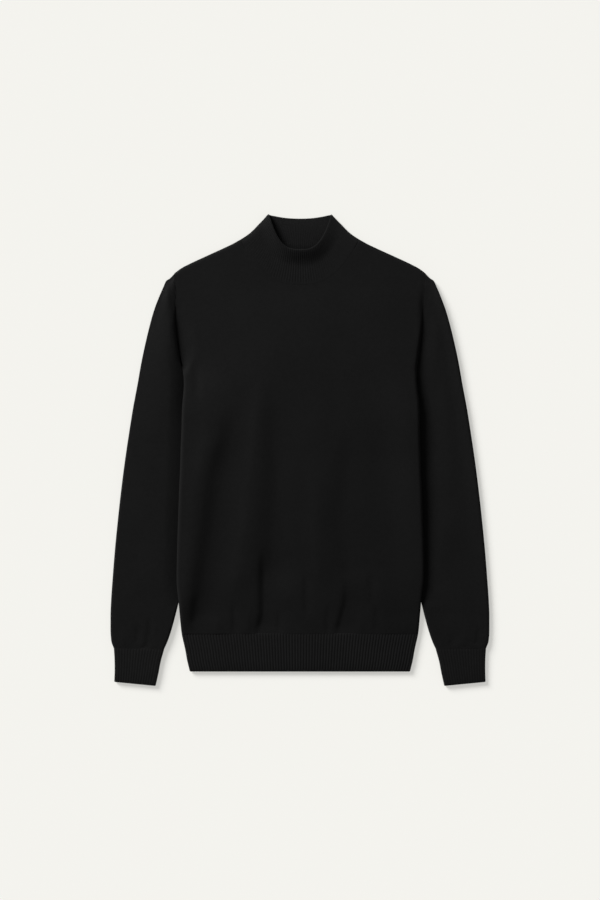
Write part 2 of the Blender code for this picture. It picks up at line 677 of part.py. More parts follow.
def make_cuff(name, side):
    ends = []
    for i in range(len(CUFF["outer_x"])):
        outer_end = (side * CUFF["outer_x"][i], CUFF["outer_y"][i])
        inner_end = (side * CUFF["inner_x"][i], CUFF["inner_y"][i])
        ends.append((outer_end, inner_end))
    ribs = int(round((CUFF["outer_x"][0] - CUFF["inner_x"][0]) / RIB_PITCH))
    return make_band(name, ends, [CUFF_TOP] * len(ends), ribs, CUFF_UNDER_STEPS)


# ---------------------------------------------------------------- collar

def collar_row(climb):
    """Sizes of the collar's section at a share of the way up it, from seam to rim."""
    at = climb * (len(COLLAR_SIDE["x"]) - 1)
    side = np.interp(at, range(len(COLLAR_SIDE["x"])), COLLAR_SIDE["x"])
    side_y = np.interp(at, range(len(COLLAR_SIDE["y"])), COLLAR_SIDE["y"])
    front_y = FRONT_NECK_Y + NECK_GAP
    spread = climb + COLLAR_FRONT_EASE * math.sin(math.pi * climb)
    front_y += (COLLAR_RIM_FRONT_Y - front_y) * spread
    back_y = BACK_NECK_Y + NECK_GAP
    back_y += (COLLAR_RIM_BACK_Y - back_y) * climb
    lift = step(*COLLAR_LIFT_SHARES, climb)
    top = COLLAR_BASE_TOP + (COLLAR_RIM_FRONT_TOP - COLLAR_BASE_TOP) * lift
    side_top = COLLAR_SIDE_TOP + COLLAR_SIDE_LIFT * lift
    return side, side_y, front_y, back_y, top, side_top


def collar_section(climb, front_steps, back_steps):
    """Points of one section: over the front from -X to +X, then back under."""
    side, side_y, front_y, back_y, top, side_top = collar_row(climb)
    power = FRONT_NECK_POWER + (COLLAR_RIM_POWER - FRONT_NECK_POWER) * climb
    radius = side_top / 2
    fine = np.sin(np.linspace(-math.pi / 2, math.pi / 2, 801)) * (side - radius)
    share = np.abs(fine) / (side - radius)
    bend_y = side_y + (front_y - side_y) * (1 - share ** power)
    bend_z = side_top + (top - side_top) * (1 - share ** 2) ** COLLAR_TOP_POWER
    line = np.stack([fine, bend_y, bend_z], 1)
    run = np.concatenate([[0], np.cumsum(np.linalg.norm(np.diff(line, axis=0), axis=1))])
    at = np.linspace(0, run[-1], front_steps + 1)
    front = np.stack([np.interp(at, run, line[:, i]) for i in range(3)], 1)
    turns = np.linspace(0, math.pi, 2 * FOLD_STEPS + 1)[1:-1]
    folds = []
    for sign in (1, -1):
        x = sign * (side - radius + radius * np.sin(turns))
        z = radius * (1 + np.cos(turns))
        folds.append(np.stack([x, np.full(len(turns), side_y), z], 1))
    back_x = (side - radius) * np.cos(np.linspace(0, math.pi, back_steps + 1))
    back_share = np.abs(back_x) / (side - radius)
    back_line = side_y + (back_y - side_y) * (1 - back_share ** BACK_NECK_POWER)
    back = np.stack([back_x, back_line, np.zeros(back_steps + 1)], 1)
    return np.concatenate([front, folds[0], back, folds[1][::-1]])


def collar_share(front_steps, back_steps):
    """Shares of the way round for the points of collar_section."""
    front, fold = 0.5, 0.05
    share = list(front * np.linspace(0, 1, front_steps + 1))
    share += list(front + fold * np.linspace(0, 1, 2 * FOLD_STEPS + 1)[1:-1])
    start = front + fold
    share += list(start + (1 - start - fold) * np.linspace(0, 1, back_steps + 1))
    share += list(1 - fold + fold * np.linspace(0, 1, 2 * FOLD_STEPS + 1)[1:-1])
    return np.array(share)


def make_collar():
    base_length = 2 * math.hypot(NECK_POINT_X, NECK_POINT_Y - FRONT_NECK_Y)
    ribs = int(round(base_length / RIB_PITCH / 2)) * 2
    climbs = np.linspace(0, 1, len(COLLAR_SIDE["x"]))
    outer = np.stack([collar_section(c, 2 * ribs, COLLAR_BACK_STEPS) for c in climbs])
    inner_steps = 2 * ribs // RIB_COARSE
    inner = np.stack([collar_section(c, inner_steps, COLLAR_BACK_STEPS) for c in climbs])
    inner_normals = grid_normals(inner, True)
    inner_normals[0, :, 1] = 0.0
    inner_normals = unit(inner_normals)
    inner = inner - COLLAR_WALL * inner_normals
    outer_normals = grid_normals(outer, True)
    raised = np.zeros(outer.shape[1])
    raised[1:2 * ribs:2] = RIB_HEIGHT
    outer = outer + outer_normals * raised[:, None]
    return tube_object("collar", outer, collar_share(2 * ribs, COLLAR_BACK_STEPS),
                       inner, collar_share(inner_steps, COLLAR_BACK_STEPS), RIB_COLOUR)


# ---------------------------------------------------------------- the sweater

def clear_scene():
    for thing in list(bpy.data.objects):
        bpy.data.objects.remove(thing, do_unlink=True)


def main():
    clear_scene()
    make_front()
    make_back()
    make_sleeve("sleeve_left", 1)
    make_sleeve("sleeve_right", -1)
    make_hem()
    make_cuff("cuff_left", 1)
    make_cuff("cuff_right", -1)
    make_collar()


main()
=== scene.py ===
import math

import bpy
import numpy as np
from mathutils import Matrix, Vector


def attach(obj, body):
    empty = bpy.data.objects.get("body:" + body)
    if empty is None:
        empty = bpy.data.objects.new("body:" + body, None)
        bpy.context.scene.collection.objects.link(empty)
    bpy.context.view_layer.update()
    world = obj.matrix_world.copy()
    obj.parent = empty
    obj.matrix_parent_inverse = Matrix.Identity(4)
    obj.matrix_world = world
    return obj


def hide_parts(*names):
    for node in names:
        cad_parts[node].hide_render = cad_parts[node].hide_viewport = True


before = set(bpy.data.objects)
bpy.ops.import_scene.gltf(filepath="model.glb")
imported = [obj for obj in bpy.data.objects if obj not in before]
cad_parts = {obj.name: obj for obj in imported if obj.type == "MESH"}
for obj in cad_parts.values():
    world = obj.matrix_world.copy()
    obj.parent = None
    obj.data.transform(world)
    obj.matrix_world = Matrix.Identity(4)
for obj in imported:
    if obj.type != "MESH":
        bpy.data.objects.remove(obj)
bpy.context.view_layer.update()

MM = 0.001

# ---- cloth ----
KNIT_WALL = 1.6
RIB_WALL = 2.0
COLLAR_WALL = 2.8
HEM_RIB_DEPTH = 0.9           # from a rib's crest to the bottom of the groove beside it
CUFF_RIB_DEPTH = 0.45
COLLAR_RIB_DEPTH = 0.6
SEAM_GAP = 0.06               # at a seam; a tube's rounded end reaches past it
ARMHOLE_GAP = 0.4             # between the body's armhole line and the sleeve
WALE = 1.9                    # width of one knitted stitch
COURSE = 1.5                  # height of one knitted stitch

# ---- lengths along the body ----
HEM_BOTTOM_Y = -348.4
HEM_SEAM_Y = -289.9
ARMPIT_Y = 124.5
SHOULDER_END_Y = 279.8
NECK_POINT_X = 93.3
NECK_POINT_Y = 334.0
FRONT_NECK_Y = 261.5
BACK_NECK_Y = 305.0
# How full the curves of the necklines are: 2 is a parabola, more is fuller at its ends.
FRONT_NECK_POWER = 2.6
BACK_NECK_POWER = 2.2
COLLAR_RIM_POWER = 3.0

# Half the width of the body: the armhole line down to the armpit, then the side fold.
BODY_SIDE = {
    "y":     [279.8, 262.0, 237.8, 206.2, 190.4, 174.6, 158.8, 143.0, 125.6, 111.4, 95.6, 79.8,
              56.0, 32.4, 0.8, -30.8, -62.4, -109.8, -157.2, -188.8, -204.6, -228.3, -242.5,
              -252.0, -267.8, -289.9, -299.4, -315.2, -331.0, -348.4],
    "width": [198.3, 197.2, 196.2, 195.2, 194.1, 192.4, 190.2, 188.0, 185.0, 184.0, 184.7, 186.4,
              187.6, 188.0, 189.1, 190.0, 191.4, 193.0, 194.5, 195.1, 194.8, 192.6, 191.1,
              190.4, 189.2, 187.0, 185.0, 181.4, 178.6, 174.4],
}
# The shoulder line from the sleeve to the neck point.
SHOULDER = {
    "x": [198.3, 195.8, 187.0, 175.0, 148.0, 119.8, 105.6, NECK_POINT_X],
    "y": [SHOULDER_END_Y, 282.0, 288.4, 294.7, 307.3, 320.2, 327.0, NECK_POINT_Y],
}
TOP_EASE_POWER = 1.6          # how late the panels' rows bend towards their top edge
NECK_BLEND = (-10.0, 1.0)     # the neck's edge turns into the shoulder fold round its point
NECK_CALM = 24.0              # the front's waviness grows over this much below the neckline
ARMPIT_BLEND = 8.0            # the side fold turns into the armhole this far round the armpit
# The sleeve, a row for each of its sections from the armhole to the cuff: the section runs
# from the outer fold to the inner fold, which lies under the body.
SLEEVE = {
    "outer_x": [198.8, 206.0, 211.4, 216.0, 223.4, 230.7, 237.5, 244.4, 251.1, 256.9, 264.0,
                270.8, 277.3, 283.3, 288.5, 292.8, 296.3, 298.6, 299.6, 299.6, 298.4, 294.7],
    "outer_y": [279.6, 272.2, 268.6, 259.0, 241.5, 222.0, 198.3, 169.9, 138.3, 105.1, 67.2,
                24.5, -19.8, -67.2, -114.6, -158.8, -203.0, -236.2, -261.5, -283.6, -301.0,
                -312.0],
    "inner_x": [185.9, 185.0, 183.6, 181.4, 177.8, 172.9, 166.6, 159.0, 151.9, 148.0, 148.0,
                151.9, 157.4, 163.0, 169.3, 176.4, 185.6, 192.3, 197.9, 203.6, 209.6, 215.0],
    "inner_y": [124.0, 121.0, 117.0, 110.0, 98.5, 84.5, 67.2, 46.6, 24.5, 0.8, -24.5,
                -52.9, -83.0, -114.6, -149.3, -184.1, -217.3, -242.5, -264.7, -285.2, -302.6,
                -314.4],
}
# The body lies a little skew: how far its side edges are moved towards +X.
LEAN = {
    "y":     [250.0, 215.0, 190.0, 160.0, 140.0, 125.0, 105.0, 80.0, 50.0, 0.0, -170.0, -225.0],
    "shift": [0.0, -1.3, -1.7, -1.7, -1.2, -0.2, 0.8, 1.3, 1.2, 0.9, 0.8, 0.0],
}
LEAN_REACH = 24.0             # how far from the edges that fades
ARMHOLE_TOP = np.array([SLEEVE["outer_x"][0], SLEEVE["outer_y"][0]])
ARMHOLE_FOOT = np.array([SLEEVE["inner_x"][0], SLEEVE["inner_y"][0]])
# The cuff, a row for each of its sections down to the wrist opening.
CUFF = {
    "outer_x": [294.3, 293.2, 293.0, 293.6],
    "outer_y": [-312.2, -331.0, -347.0, -364.8],
    "inner_x": [214.8, 220.2, 223.6, 228.0],
    "inner_y": [-314.6, -334.0, -351.6, -371.2],
}

# ---- heights above the floor ----
# Top of the front along the middle of the body, which lies a little puffed up.
FRONT_LEVEL = {
    "y":   [NECK_POINT_Y, 262.0, 230.0, 200.0, 120.0, 0.0, -150.0, -225.0, -262.0, -290.0],
    "top": [9.0, 9.2, 10.8, 12.0, 12.8, 12.6, 11.6, 10.4, 9.0, 7.8],
}
# The sleeves, by the sign of x: the top of the fold along the outer edge, the top in the
# middle, and how far from the fold the full height is reached.
SLEEVE_HEIGHTS = {
    "y":         [280.0, 245.0, 200.0, 143.0, 80.0, 0.0, -100.0, -280.0, -312.0],
    "edge +x":   [8.2, 12.8, 12.0, 11.4, 11.0, 10.4, 10.0, 9.0, 8.0],
    "middle +x": [8.8, 9.6, 7.4, 6.4, 6.2, 6.2, 6.3, 7.1, 8.2],
    "reach +x":  [14.0, 26.0, 28.0, 28.0, 28.0, 28.0, 28.0, 26.0, 24.0],
    "edge -x":   [4.4, 4.2, 4.4, 4.8, 5.8, 7.0, 7.6, 7.8, 8.0],
    "middle -x": [10.2, 13.6, 14.0, 13.3, 11.6, 9.2, 8.7, 8.4, 8.2],
    "reach -x":  [15.0, 29.0, 66.0, 70.0, 62.0, 50.0, 44.0, 40.0, 30.0],
}
SLEEVE_DOME_FROM = (205.0, 238.0)    # towards the shoulder the -X sleeve swells in a dome
CUFF_TOP = 8.0
HEM_TOP = 8.0
# A band's top differs at its seam by the first height, which fades at the rate, and thins
# towards its open edge by the second.
HEM_ENDS = {"seam": -0.35, "rate": 30, "edge": 1.2}
CUFF_ENDS = {"seam": 0.3, "rate": 14, "edge": 1.0}
BAND_EDGE_POWER = 6
RIB_ROUNDNESS = 0.7           # less makes the grooves between the ribs narrower
# Along the side edge of the body: the top of the sleeve there, how far the back is lifted
# over it, and the top of the front just inside its edge at +X and at -X.
SIDE_HEIGHTS = {
    "y":         [279.8, 262.0, 240.0, 222.0, 200.0, 174.6, 150.9, 136.0, 125.6, 113.0, 79.8,
                  48.0, -70.0, -140.0, -204.9, -236.2, -261.0, -289.9],
    "sleeve +x": [8.6, 8.3, 6.9, 5.2, 4.0, 3.5, 3.5, 3.5, 3.5, 3.5, 3.5, 3.5, 3.5, 3.5, 3.5, 4.4,
                  7.4, 8.4],
    "sleeve -x": [8.5, 8.3, 7.8, 6.2, 4.6, 3.7, 3.5, 3.5, 3.5, 3.5, 3.6, 3.8, 3.8, 3.8, 3.8, 4.6,
                  7.4, 8.4],
    "back":      [0.0, 0.0, 0.0, 0.0, 0.0, 0.0, 0.0, 1.4, 2.4, 3.2, 4.0, 4.4, 6.0, 6.5, 6.5, 6.3,
                  2.6, 0.0],
    "front +x":  [8.8, 8.8, 9.1, 9.3, 9.6, 10.5, 11.9, 13.0, 13.8, 14.8, 18.0, 19.4, 18.9, 16.8,
                  15.4, 13.6, 11.0, 8.0],
    "front -x":  [8.8, 8.6, 8.1, 7.8, 7.5, 7.3, 7.3, 7.8, 8.9, 10.8, 15.2, 18.0, 18.4, 18.6,
                  18.2, 16.6, 12.8, 8.3],
}
# The slope between the middle of the front and its sides: how far from the middle it
# starts and ends.
RISE = {
    "y":        [272.0, 190.0, 130.0, 80.0, 16.0, -46.0, -110.0, -173.0, -236.0, -268.0,
                 -290.0],
    "start +x": [15.0, 15.0, 60.0, 100.0, 108.0, 110.0, 108.0, 104.0, 100.0, 104.0, 110.0],
    "end +x":   [186.0, 184.0, 180.0, 176.0, 178.0, 184.0, 190.0, 192.0, 190.0, 186.0, 184.0],
    "start -x": [15.0, 15.0, 60.0, 84.0, 92.0, 104.0, 108.0, 118.0, 129.0, 146.0, 156.0],
    "end -x":   [186.0, 184.0, 170.0, 152.0, 153.0, 170.0, 178.0, 183.0, 186.0, 188.0, 186.0],
}
RISE_POWER = 1.25
SIDE_FOLD = {1: 5.0, -1: 5.2}  # width of the rounded fold along the sides, by the sign of x
ARMHOLE_FOLD = 6.0            # the same where the front turns down to the +X armhole's seam
GROOVE_EASE = (195.0, 240.0)  # towards the shoulder the grooves along the armholes turn soft
GROOVE_SOFT_WIDTH = 1.4 * ARMHOLE_FOLD
# At the -X armhole the front lies low along the seam for a way, then slopes up.
LOW_EDGE = {
    "y":     [262.0, 230.0, 190.0, 165.0, 150.0, 135.0, 120.0],
    "width": [1.0, 3.0, 6.0, 5.5, 4.5, 2.5, 0.5],
    "slope": [6.0, 14.0, 24.0, 26.0, 22.0, 13.0, 6.0],
}
SHOULDER_FOLD = 5.0
SEAM_FOLD = 1.2               # the panels turn down this close to the hem's seam
SEAM_DROP = 0.25
BACK_RAMP = 32.0              # the back starts to climb this far inside a sleeve's fold
BACK_RAMP_END = 7.0           # and is on the sleeve's level this far inside it
BACK_TUCK = 2.0               # round the armpit its edge falls off towards this far lower
BACK_REACH = 0.36             # the back closes the armhole's seam from below
ARMHOLE_ROWS = 4              # rows of the sleeve's table that ease from the armhole's curve
# Where a sleeve's slope beside the body starts and ends, out from the body's edge.
SLEEVE_SLOPE = {
    1: {"armhole": (3.0, 28.0), "below": (12.5, 48.0)},
    -1: {"armhole": (0.0, 12.0), "below": (0.0, 21.0)},
}
# Over these y the slope below the armpit turns into the one at the armhole, by the sign of x.
SLEEVE_SLOPE_TURN = {1: (90.0, 150.0), -1: (112.0, 168.0)}
SLEEVE_SLOPE_POWER = 1.5      # of the -X slope, below its armhole and towards the shoulder
SLEEVE_FREE_Y = (-256.0, -232.0)     # a sleeve comes out from under the body here
SLEEVE_WAVINESS = 0.8         # a sleeve's unevenness as a share of the front's

# Creases of the front. Each runs through its points from the top down. A trough has a
# negative height; left and right say how far it reaches to each side.
CREASES = [
    # points, height, left, right, fade at the top, fade at the foot
    ([(-161, 150), (-164, 112), (-162, 70)], -1.5, 7, 10, 34, 34),
    ([(-118, 90), (-134, 17), (-152, -46), (-158, -110), (-167, -173), (-176, -236),
      (-181, -290)], 2.4, 20, 15, 90, 40),
    ([(-104, 60), (-109, 0), (-117, -46), (-133, -110), (-144, -173), (-154, -236),
      (-158, -290)], -2.3, 22, 36, 80, 40),
    ([(-58, 140), (-62, 80), (-68, 17), (-75, -46), (-82, -110), (-91, -173), (-105, -240)],
     2.3, 16, 24, 70, 50),
    ([(-34, 150), (-38, 17), (-33, -46), (-38, -110), (-42, -173), (-48, -236)],
     -3.4, 20, 60, 160, 70),
    ([(-55, -150), (-57, -185), (-57, -252), (-64, -289), (-66, -300)], -4.5, 7, 44, 50, 30),
    ([(-14, 30), (-12, -80), (-15, -180), (-18, -262)], 0.8, 15, 18, 80, 50),
    ([(28, -10), (27, -120), (30, -230)], 0.7, 12, 12, 60, 40),
    ([(84, 60), (78, -46), (70, -110), (78, -173), (80, -230)], -4.0, 24, 80, 90, 50),
    ([(74, -200), (74, -236), (71, -250), (67, -264), (61, -289), (58, -300)], -3.0, 6, 32, 40,
     26),
    ([(-105, -236), (-104, -296)], -1.1, 4, 9, 18, 18),
    ([(9, -190), (9, -268)], -1.0, 4, 10, 18, 20),
    ([(111, -190), (114, -250)], -0.9, 5, 10, 16, 16),
    ([(138, 40), (145, -46), (154, -110), (158, -173), (160, -236), (160, -285)], -2.3, 28, 40,
     60, 30),
    ([(60, 150), (52, 60), (50, 0)], -0.7, 18, 22, 60, 40),
    ([(-32, -246), (-34, -296)], -0.9, 4, 8, 20, 18),
    ([(44, -240), (43, -296)], -1.0, 4, 9, 22, 18),
    ([(-132, -254), (-130, -296)], 0.8, 7, 7, 24, 18),
    ([(-162, -222), (-166, -250), (-169, -280)], -1.1, 5, 7, 18, 14),
    ([(-82, -250), (-84, -296)], 0.8, 8, 6, 22, 18),
    ([(96, -258), (94, -296)], 0.7, 7, 7, 20, 18),
    ([(122, -236), (120, -296)], -0.8, 5, 9, 22, 18),
]
# Creases of the sleeves above the cuffs, by the sign of x.
SLEEVE_CREASES = {
    -1: [([(-256, -274), (-259, -306)], -0.8, 4, 8, 12, 6),
         ([(-238, -262), (-240, -300), (-248, -314)], -1.0, 4, 9, 14, 4),
         ([(-281, -280), (-279, -310)], 0.6, 7, 7, 16, 6),
         ([(-252, -120), (-262, -220)], -0.8, 14, 20, 40, 40)],
    1: [([(240, -288), (239, -311)], -0.8, 4, 8, 10, 6),
        ([(283, -276), (279, -309)], -1.0, 4, 9, 12, 6),
        ([(258, -284), (257, -311)], 0.6, 7, 7, 14, 6),
        ([(248, -110), (240, -190), (236, -240), (238, -285)], -1.8, 28, 34, 60, 30)],
}

# ---- collar ----
# Its side edge, from the seam up to the rim, as seen from above.
COLLAR_SIDE = {
    "x": [NECK_POINT_X, 81.6, 73.4, 66.2, 58.4, 50.8],
    "y": [NECK_POINT_Y, 341.8, 349.0, 356.6, 364.4, 372.6],
}
COLLAR_RIM_FRONT_Y = 315.8
COLLAR_RIM_BACK_Y = 365.4
COLLAR_FRONT_EASE = 0.05      # its sections spread apart a little at the front
COLLAR_BASE_TOP = 8.9
COLLAR_RIM_FRONT_TOP = 17.8   # the front of the rim stands up off the back
COLLAR_SIDE_LIFT = {1: 2.0, -1: 9.8}      # and lifts its sides, by the sign of x
COLLAR_LIFT_SHARES = (0.48, 1.04)   # over these shares of its height, from the seam up
COLLAR_SIDE_LIFT_SHARES = (0.55, 1.30)   # the sides rise most close to the rim
COLLAR_TOP_POWER = 0.8
COLLAR_BACK_ARCH = 3.4        # its back arches this much off the floor
COLLAR_ARCH_SHARE = 0.35      # highest at this share of its height
COLLAR_RIBS_CLEAR = 30.0       # its ribs are pulled flatter this far out from the middle
COLLAR_RIBS_LEFT = 0.4         # to this share of their depth
COLLAR_RIBS_FROM = (0.03, 0.10)     # and start over these shares of its height
COLLAR_INNER_RIBS = 0.6        # how much of a groove's depth its inner side follows

# ---- yarns, floor, light and camera ----
# Grey of the yarn, height of its bump in mm, and how its shade changes per metre towards +X
# and towards +Y: a painted light falloff, lighter towards the main light at the upper left.
YARNS = {
    "body_knit":   (0.00618, 0.28, -0.66, 0.62),
    "sleeve_knit": (0.0066, 0.28, -0.30, 0.38),
    "rib":         (0.0067, 0.25, -0.42, 0.34),
    "collar_rib":  (0.00405, 0.25, -0.42, 2.6),
}
FLOOR_REACH = 4.0             # metres to each side
FLOOR_DROP = 0.0002           # metres below the cloth
FLOOR_COLOUR = (0.432, 0.4285, 0.409, 1.0)
FLOOR_GLOW = (0.473, 0.469, 0.4475, 1.0)    # it shines a little, to be as white as the photo's
SKY_STRENGTH = 0.25
KEY_ELEVATION = math.radians(29)    # the main light comes from the upper left
KEY_STRENGTH = 0.75                 # what a flat floor gets of it, where 1 is full white
KEY_SPREAD = math.radians(26)       # it is broad, so its shadows are soft
LENS = 85.0
SENSOR = 36.0
VIEW_LENGTH = 1.422                 # metres that the long side of the picture shows
CAMERA_PLACE = (0.0001, 0.00079)
LOOKED_AT_HEIGHT = 0.007            # metres above the floor

# ---- how finely each piece is divided ----
FRONT_GRID = (150, 190)       # columns and rows
BACK_GRID = (70, 100)
FOLD_STEPS = 6
PANEL_WIDTH = 380.0           # roughly, to turn a fold's width into a share of the panel
PANEL_LENGTH = 600.0
NECK_LINE_POINTS = 60
SHOULDER_LINE_POINTS = 80
SLEEVE_ROWS = 176
SLEEVE_OVER_POINTS = 61       # across its upper side
SLEEVE_UNDER_POINTS = 25
SLEEVE_FIRST_TOP = 8.0        # its side folds' width and its heights depend on each other, so
SLEEVE_FIT_ROUNDS = 3         # they start from this height and are worked out so many times
BAND_FLAT_POINTS = 40
HEM_ROW_SHARES = np.concatenate([[0.0, 0.012, 0.028, 0.05], np.linspace(0.1, 1, 12)])
CUFF_ROWS = 14
COLLAR_ROWS = 36
COLLAR_LINE_POINTS = 200
COLLAR_TURN_POINTS = 13
RIM_STEPS = 4
POINTS_PER_RIB = 6
HEM_RIBS = 82
CUFF_RIBS = 18
COLLAR_FRONT_RIBS = 56
COLLAR_BACK_RIBS = 52


# ---------------------------------------------------------------- curves and steps

def smooth_table(xs, ys, x):
    """A smooth curve through a table's points that never overshoots them."""
    xs = np.asarray(xs, float)
    ys = np.asarray(ys, float)
    if xs[0] > xs[-1]:
        xs, ys = xs[::-1], ys[::-1]
    h = np.diff(xs)
    slope = np.diff(ys) / h
    m = np.zeros(len(xs))
    m[0], m[-1] = slope[0], slope[-1]
    for i in range(1, len(xs) - 1):
        if slope[i - 1] * slope[i] > 0:
            w0 = 2 * h[i] + h[i - 1]
            w1 = h[i] + 2 * h[i - 1]
            m[i] = (w0 + w1) / (w0 / slope[i - 1] + w1 / slope[i])
    x = np.clip(x, xs[0], xs[-1])
    i = np.clip(np.searchsorted(xs, x, side="right") - 1, 0, len(h) - 1)
    t = (x - xs[i]) / h[i]
    a = ys[i] * (1 + 2 * t) * (1 - t) ** 2 + ys[i + 1] * t * t * (3 - 2 * t)
    b = h[i] * (m[i] * t * (1 - t) ** 2 - m[i + 1] * t * t * (1 - t))
    return a + b


def step(low, high, x):
    """Rises smoothly from 0 at low to 1 at high."""
    t = np.clip((x - low) / (high - low), 0.0, 1.0)
    return t * t * (3 - 2 * t)


def unit(v):
    return v / np.maximum(np.linalg.norm(v, axis=-1, keepdims=True), 1e-9)


def run_along(points):
    """Length along a line of points, 0 at its first point."""
    steps = np.linalg.norm(np.diff(points, axis=0), axis=1)
    return np.concatenate([[0.0], np.cumsum(steps)])


def side_x(y):
    return smooth_table(BODY_SIDE["y"], BODY_SIDE["width"], y)


def side_height(column, y):
    return smooth_table(SIDE_HEIGHTS["y"], SIDE_HEIGHTS[column], y)


def leaned(points):
    """Points moved with the side edges of the body, which lies a little skew."""
    x, y = points[:, 0], points[:, 1]
    near = np.exp(-((np.abs(x) - side_x(y)) / LEAN_REACH) ** 2)
    moved = points.copy()
    moved[:, 0] += smooth_table(LEAN["y"], LEAN["shift"], y) * near
    return moved


def sleeve_low(x, y):
    """Top of a sleeve where it is pressed down, along and under the body's edge."""
    return np.where(x > 0, side_height("sleeve +x", y), side_height("sleeve -x", y))


def sleeve_fold_x(y):
    """How far from the middle a sleeve's inner fold lies under the body."""
    hidden = smooth_table(SLEEVE["inner_y"], SLEEVE["inner_x"], y)
    return np.minimum(hidden, side_x(y))


# ---------------------------------------------------------------- heights of the layers

def crease_height(creases, x, y):
    """Sum of the troughs and ridges of a table."""
    total = np.zeros(np.shape(x))
    for points, height, left, right, fade_top, fade_foot in creases:
        ys = [p[1] for p in points][::-1]
        xs = [p[0] for p in points][::-1]
        away = x - smooth_table(ys, xs, y)
        width = np.where(away < 0, left, right)
        along = (1 - step(ys[-1] - fade_top, ys[-1], y)) * step(ys[0], ys[0] + fade_foot, y)
        total += height * along * np.exp(-(away / width) ** 2)
    return total


def unevenness(x, y):
    """The slight waviness that a knitted panel keeps after it is smoothed out by hand."""
    a = np.sin(x / 23.0 + 1.3 * np.sin(y / 61.0) + 0.6)
    b = np.sin(x / 13.7 - y / 97.0 + 1.9 * np.sin(y / 43.0 + 2.0))
    c = np.sin(y / 31.0 + x / 71.0 + 1.1 * np.sin(x / 37.0))
    return 0.16 * a + 0.10 * b + 0.10 * c


def back_under(x, y):
    """Underside of the back: on the floor, or lifted over a sleeve."""
    fold = sleeve_fold_x(y)
    return side_height("back", y) * step(fold - BACK_RAMP, fold - BACK_RAMP_END, np.abs(x))


def front_top(x, y):
    """Top of the front, without the folds along its edges."""
    level = smooth_table(FRONT_LEVEL["y"], FRONT_LEVEL["top"], y)
    total = level + crease_height(CREASES, x, y) + unevenness(x, y) * neck_free(x, y)
    for side, name in ((1, " +x"), (-1, " -x")):
        start = smooth_table(RISE["y"], RISE["start" + name], y)
        end = smooth_table(RISE["y"], RISE["end" + name], y)
        share = np.clip((side * x - start) / (end - start), 0.0, 1.0)
        lift = side_height("front" + name, y) - level
        total = total + lift * step(0.0, 1.0, share ** RISE_POWER)
    return total


def neck_free(x, y):
    """0 along the neckline, where the front is level with the collar's foot, 1 away from it."""
    return step(0.0, NECK_CALM, neckline_y(x, FRONT_NECK_Y, FRONT_NECK_POWER) - y)


def fold_drop(away, width):
    """Share of a fold's height lost at a distance from the edge: 1 on it, 0 inside."""
    place = np.clip(1 - away / width, 0.0, 1.0)
    return 1 - np.sqrt(1 - place ** 2)


def side_turn(y):
    """1 where the front and back meet in a fold along the side, 0 along the armhole."""
    return 1 - step(ARMPIT_Y - ARMPIT_BLEND, ARMPIT_Y + ARMPIT_BLEND, y)


def beside_body(side, x, y):
    """How far a sleeve has risen beside the body: 0 at the body's edge, 1 clear of it."""
    beyond = np.maximum(np.abs(x) - side_x(y), 0.0)
    ends = SLEEVE_SLOPE[side]
    at_armhole = step(*SLEEVE_SLOPE_TURN[side], y)
    if side > 0:
        start, end = [b + (a - b) * at_armhole for a, b in zip(ends["armhole"], ends["below"])]
        return step(start, end, beyond)
    at_armhole = at_armhole * (1 - step(*GROOVE_EASE, y))
    rounded = 1 - fold_drop(beyond, ends["armhole"][1])
    slope = 1 - np.clip(1 - beyond / ends["below"][1], 0.0, 1.0) ** SLEEVE_SLOPE_POWER
    return rounded * at_armhole + slope * (1 - at_armhole)


def sleeve_top(x, y, from_fold):
    """Top of a sleeve: pressed down beside and under the body, full elsewhere."""
    side, name = (1, " +x") if np.mean(x) > 0 else (-1, " -x")
    edge = smooth_table(SLEEVE_HEIGHTS["y"], SLEEVE_HEIGHTS["edge" + name], y)
    middle = smooth_table(SLEEVE_HEIGHTS["y"], SLEEVE_HEIGHTS["middle" + name], y)
    reach = smooth_table(SLEEVE_HEIGHTS["y"], SLEEVE_HEIGHTS["reach" + name], y)
    share = np.clip(from_fold / reach, 0.0, 1.0)
    swell = 1.5 * share - 0.5 * share ** 3
    if side < 0:
        swell = swell + (step(0.0, 1.0, share) - swell) * step(*SLEEVE_DOME_FROM, y)
    full = edge + (middle - edge) * swell
    low = np.minimum(sleeve_low(x, y), full)
    out = np.maximum(beside_body(side, x, y), 1 - step(*SLEEVE_FREE_Y, y))
    creases = crease_height(SLEEVE_CREASES[side], x, y) + SLEEVE_WAVINESS * unevenness(x, y)
    return low + (full - low + creases * swell) * out


# ---------------------------------------------------------------- meshes

def quads(rows, columns, closed, start, flip):
    """Corner numbers of a grid's faces, and each corner's row and column."""
    last = columns if closed else columns - 1
    r, c = np.meshgrid(np.arange(rows - 1), np.arange(last), indexing="ij")
    r, c = r.ravel(), c.ravel()
    corners = [(r, c), (r, c + 1), (r + 1, c + 1), (r + 1, c)]
    if flip:
        corners = corners[::-1]
    row = np.stack([k[0] for k in corners], 1)
    column = np.stack([k[1] for k in corners], 1)
    return start + row * columns + column % columns, row, column


def make_piece(name, verts, faces, places, material):
    """A shaded piece that rides on the frame and takes the place of its solid."""
    mesh = bpy.data.meshes.new(name + "_cloth")
    mesh.from_pydata((leaned(verts) * MM).tolist(), [], faces.tolist())
    layer = mesh.uv_layers.new(name="knit")
    layer.data.foreach_set("uv", np.ascontiguousarray(places, dtype=np.float32).ravel())
    mesh.shade_smooth()
    mesh.materials.append(material)
    piece = bpy.data.objects.new(name + "_cloth", mesh)
    bpy.context.collection.objects.link(piece)
    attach(piece, "root")
    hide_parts(name)
    return piece


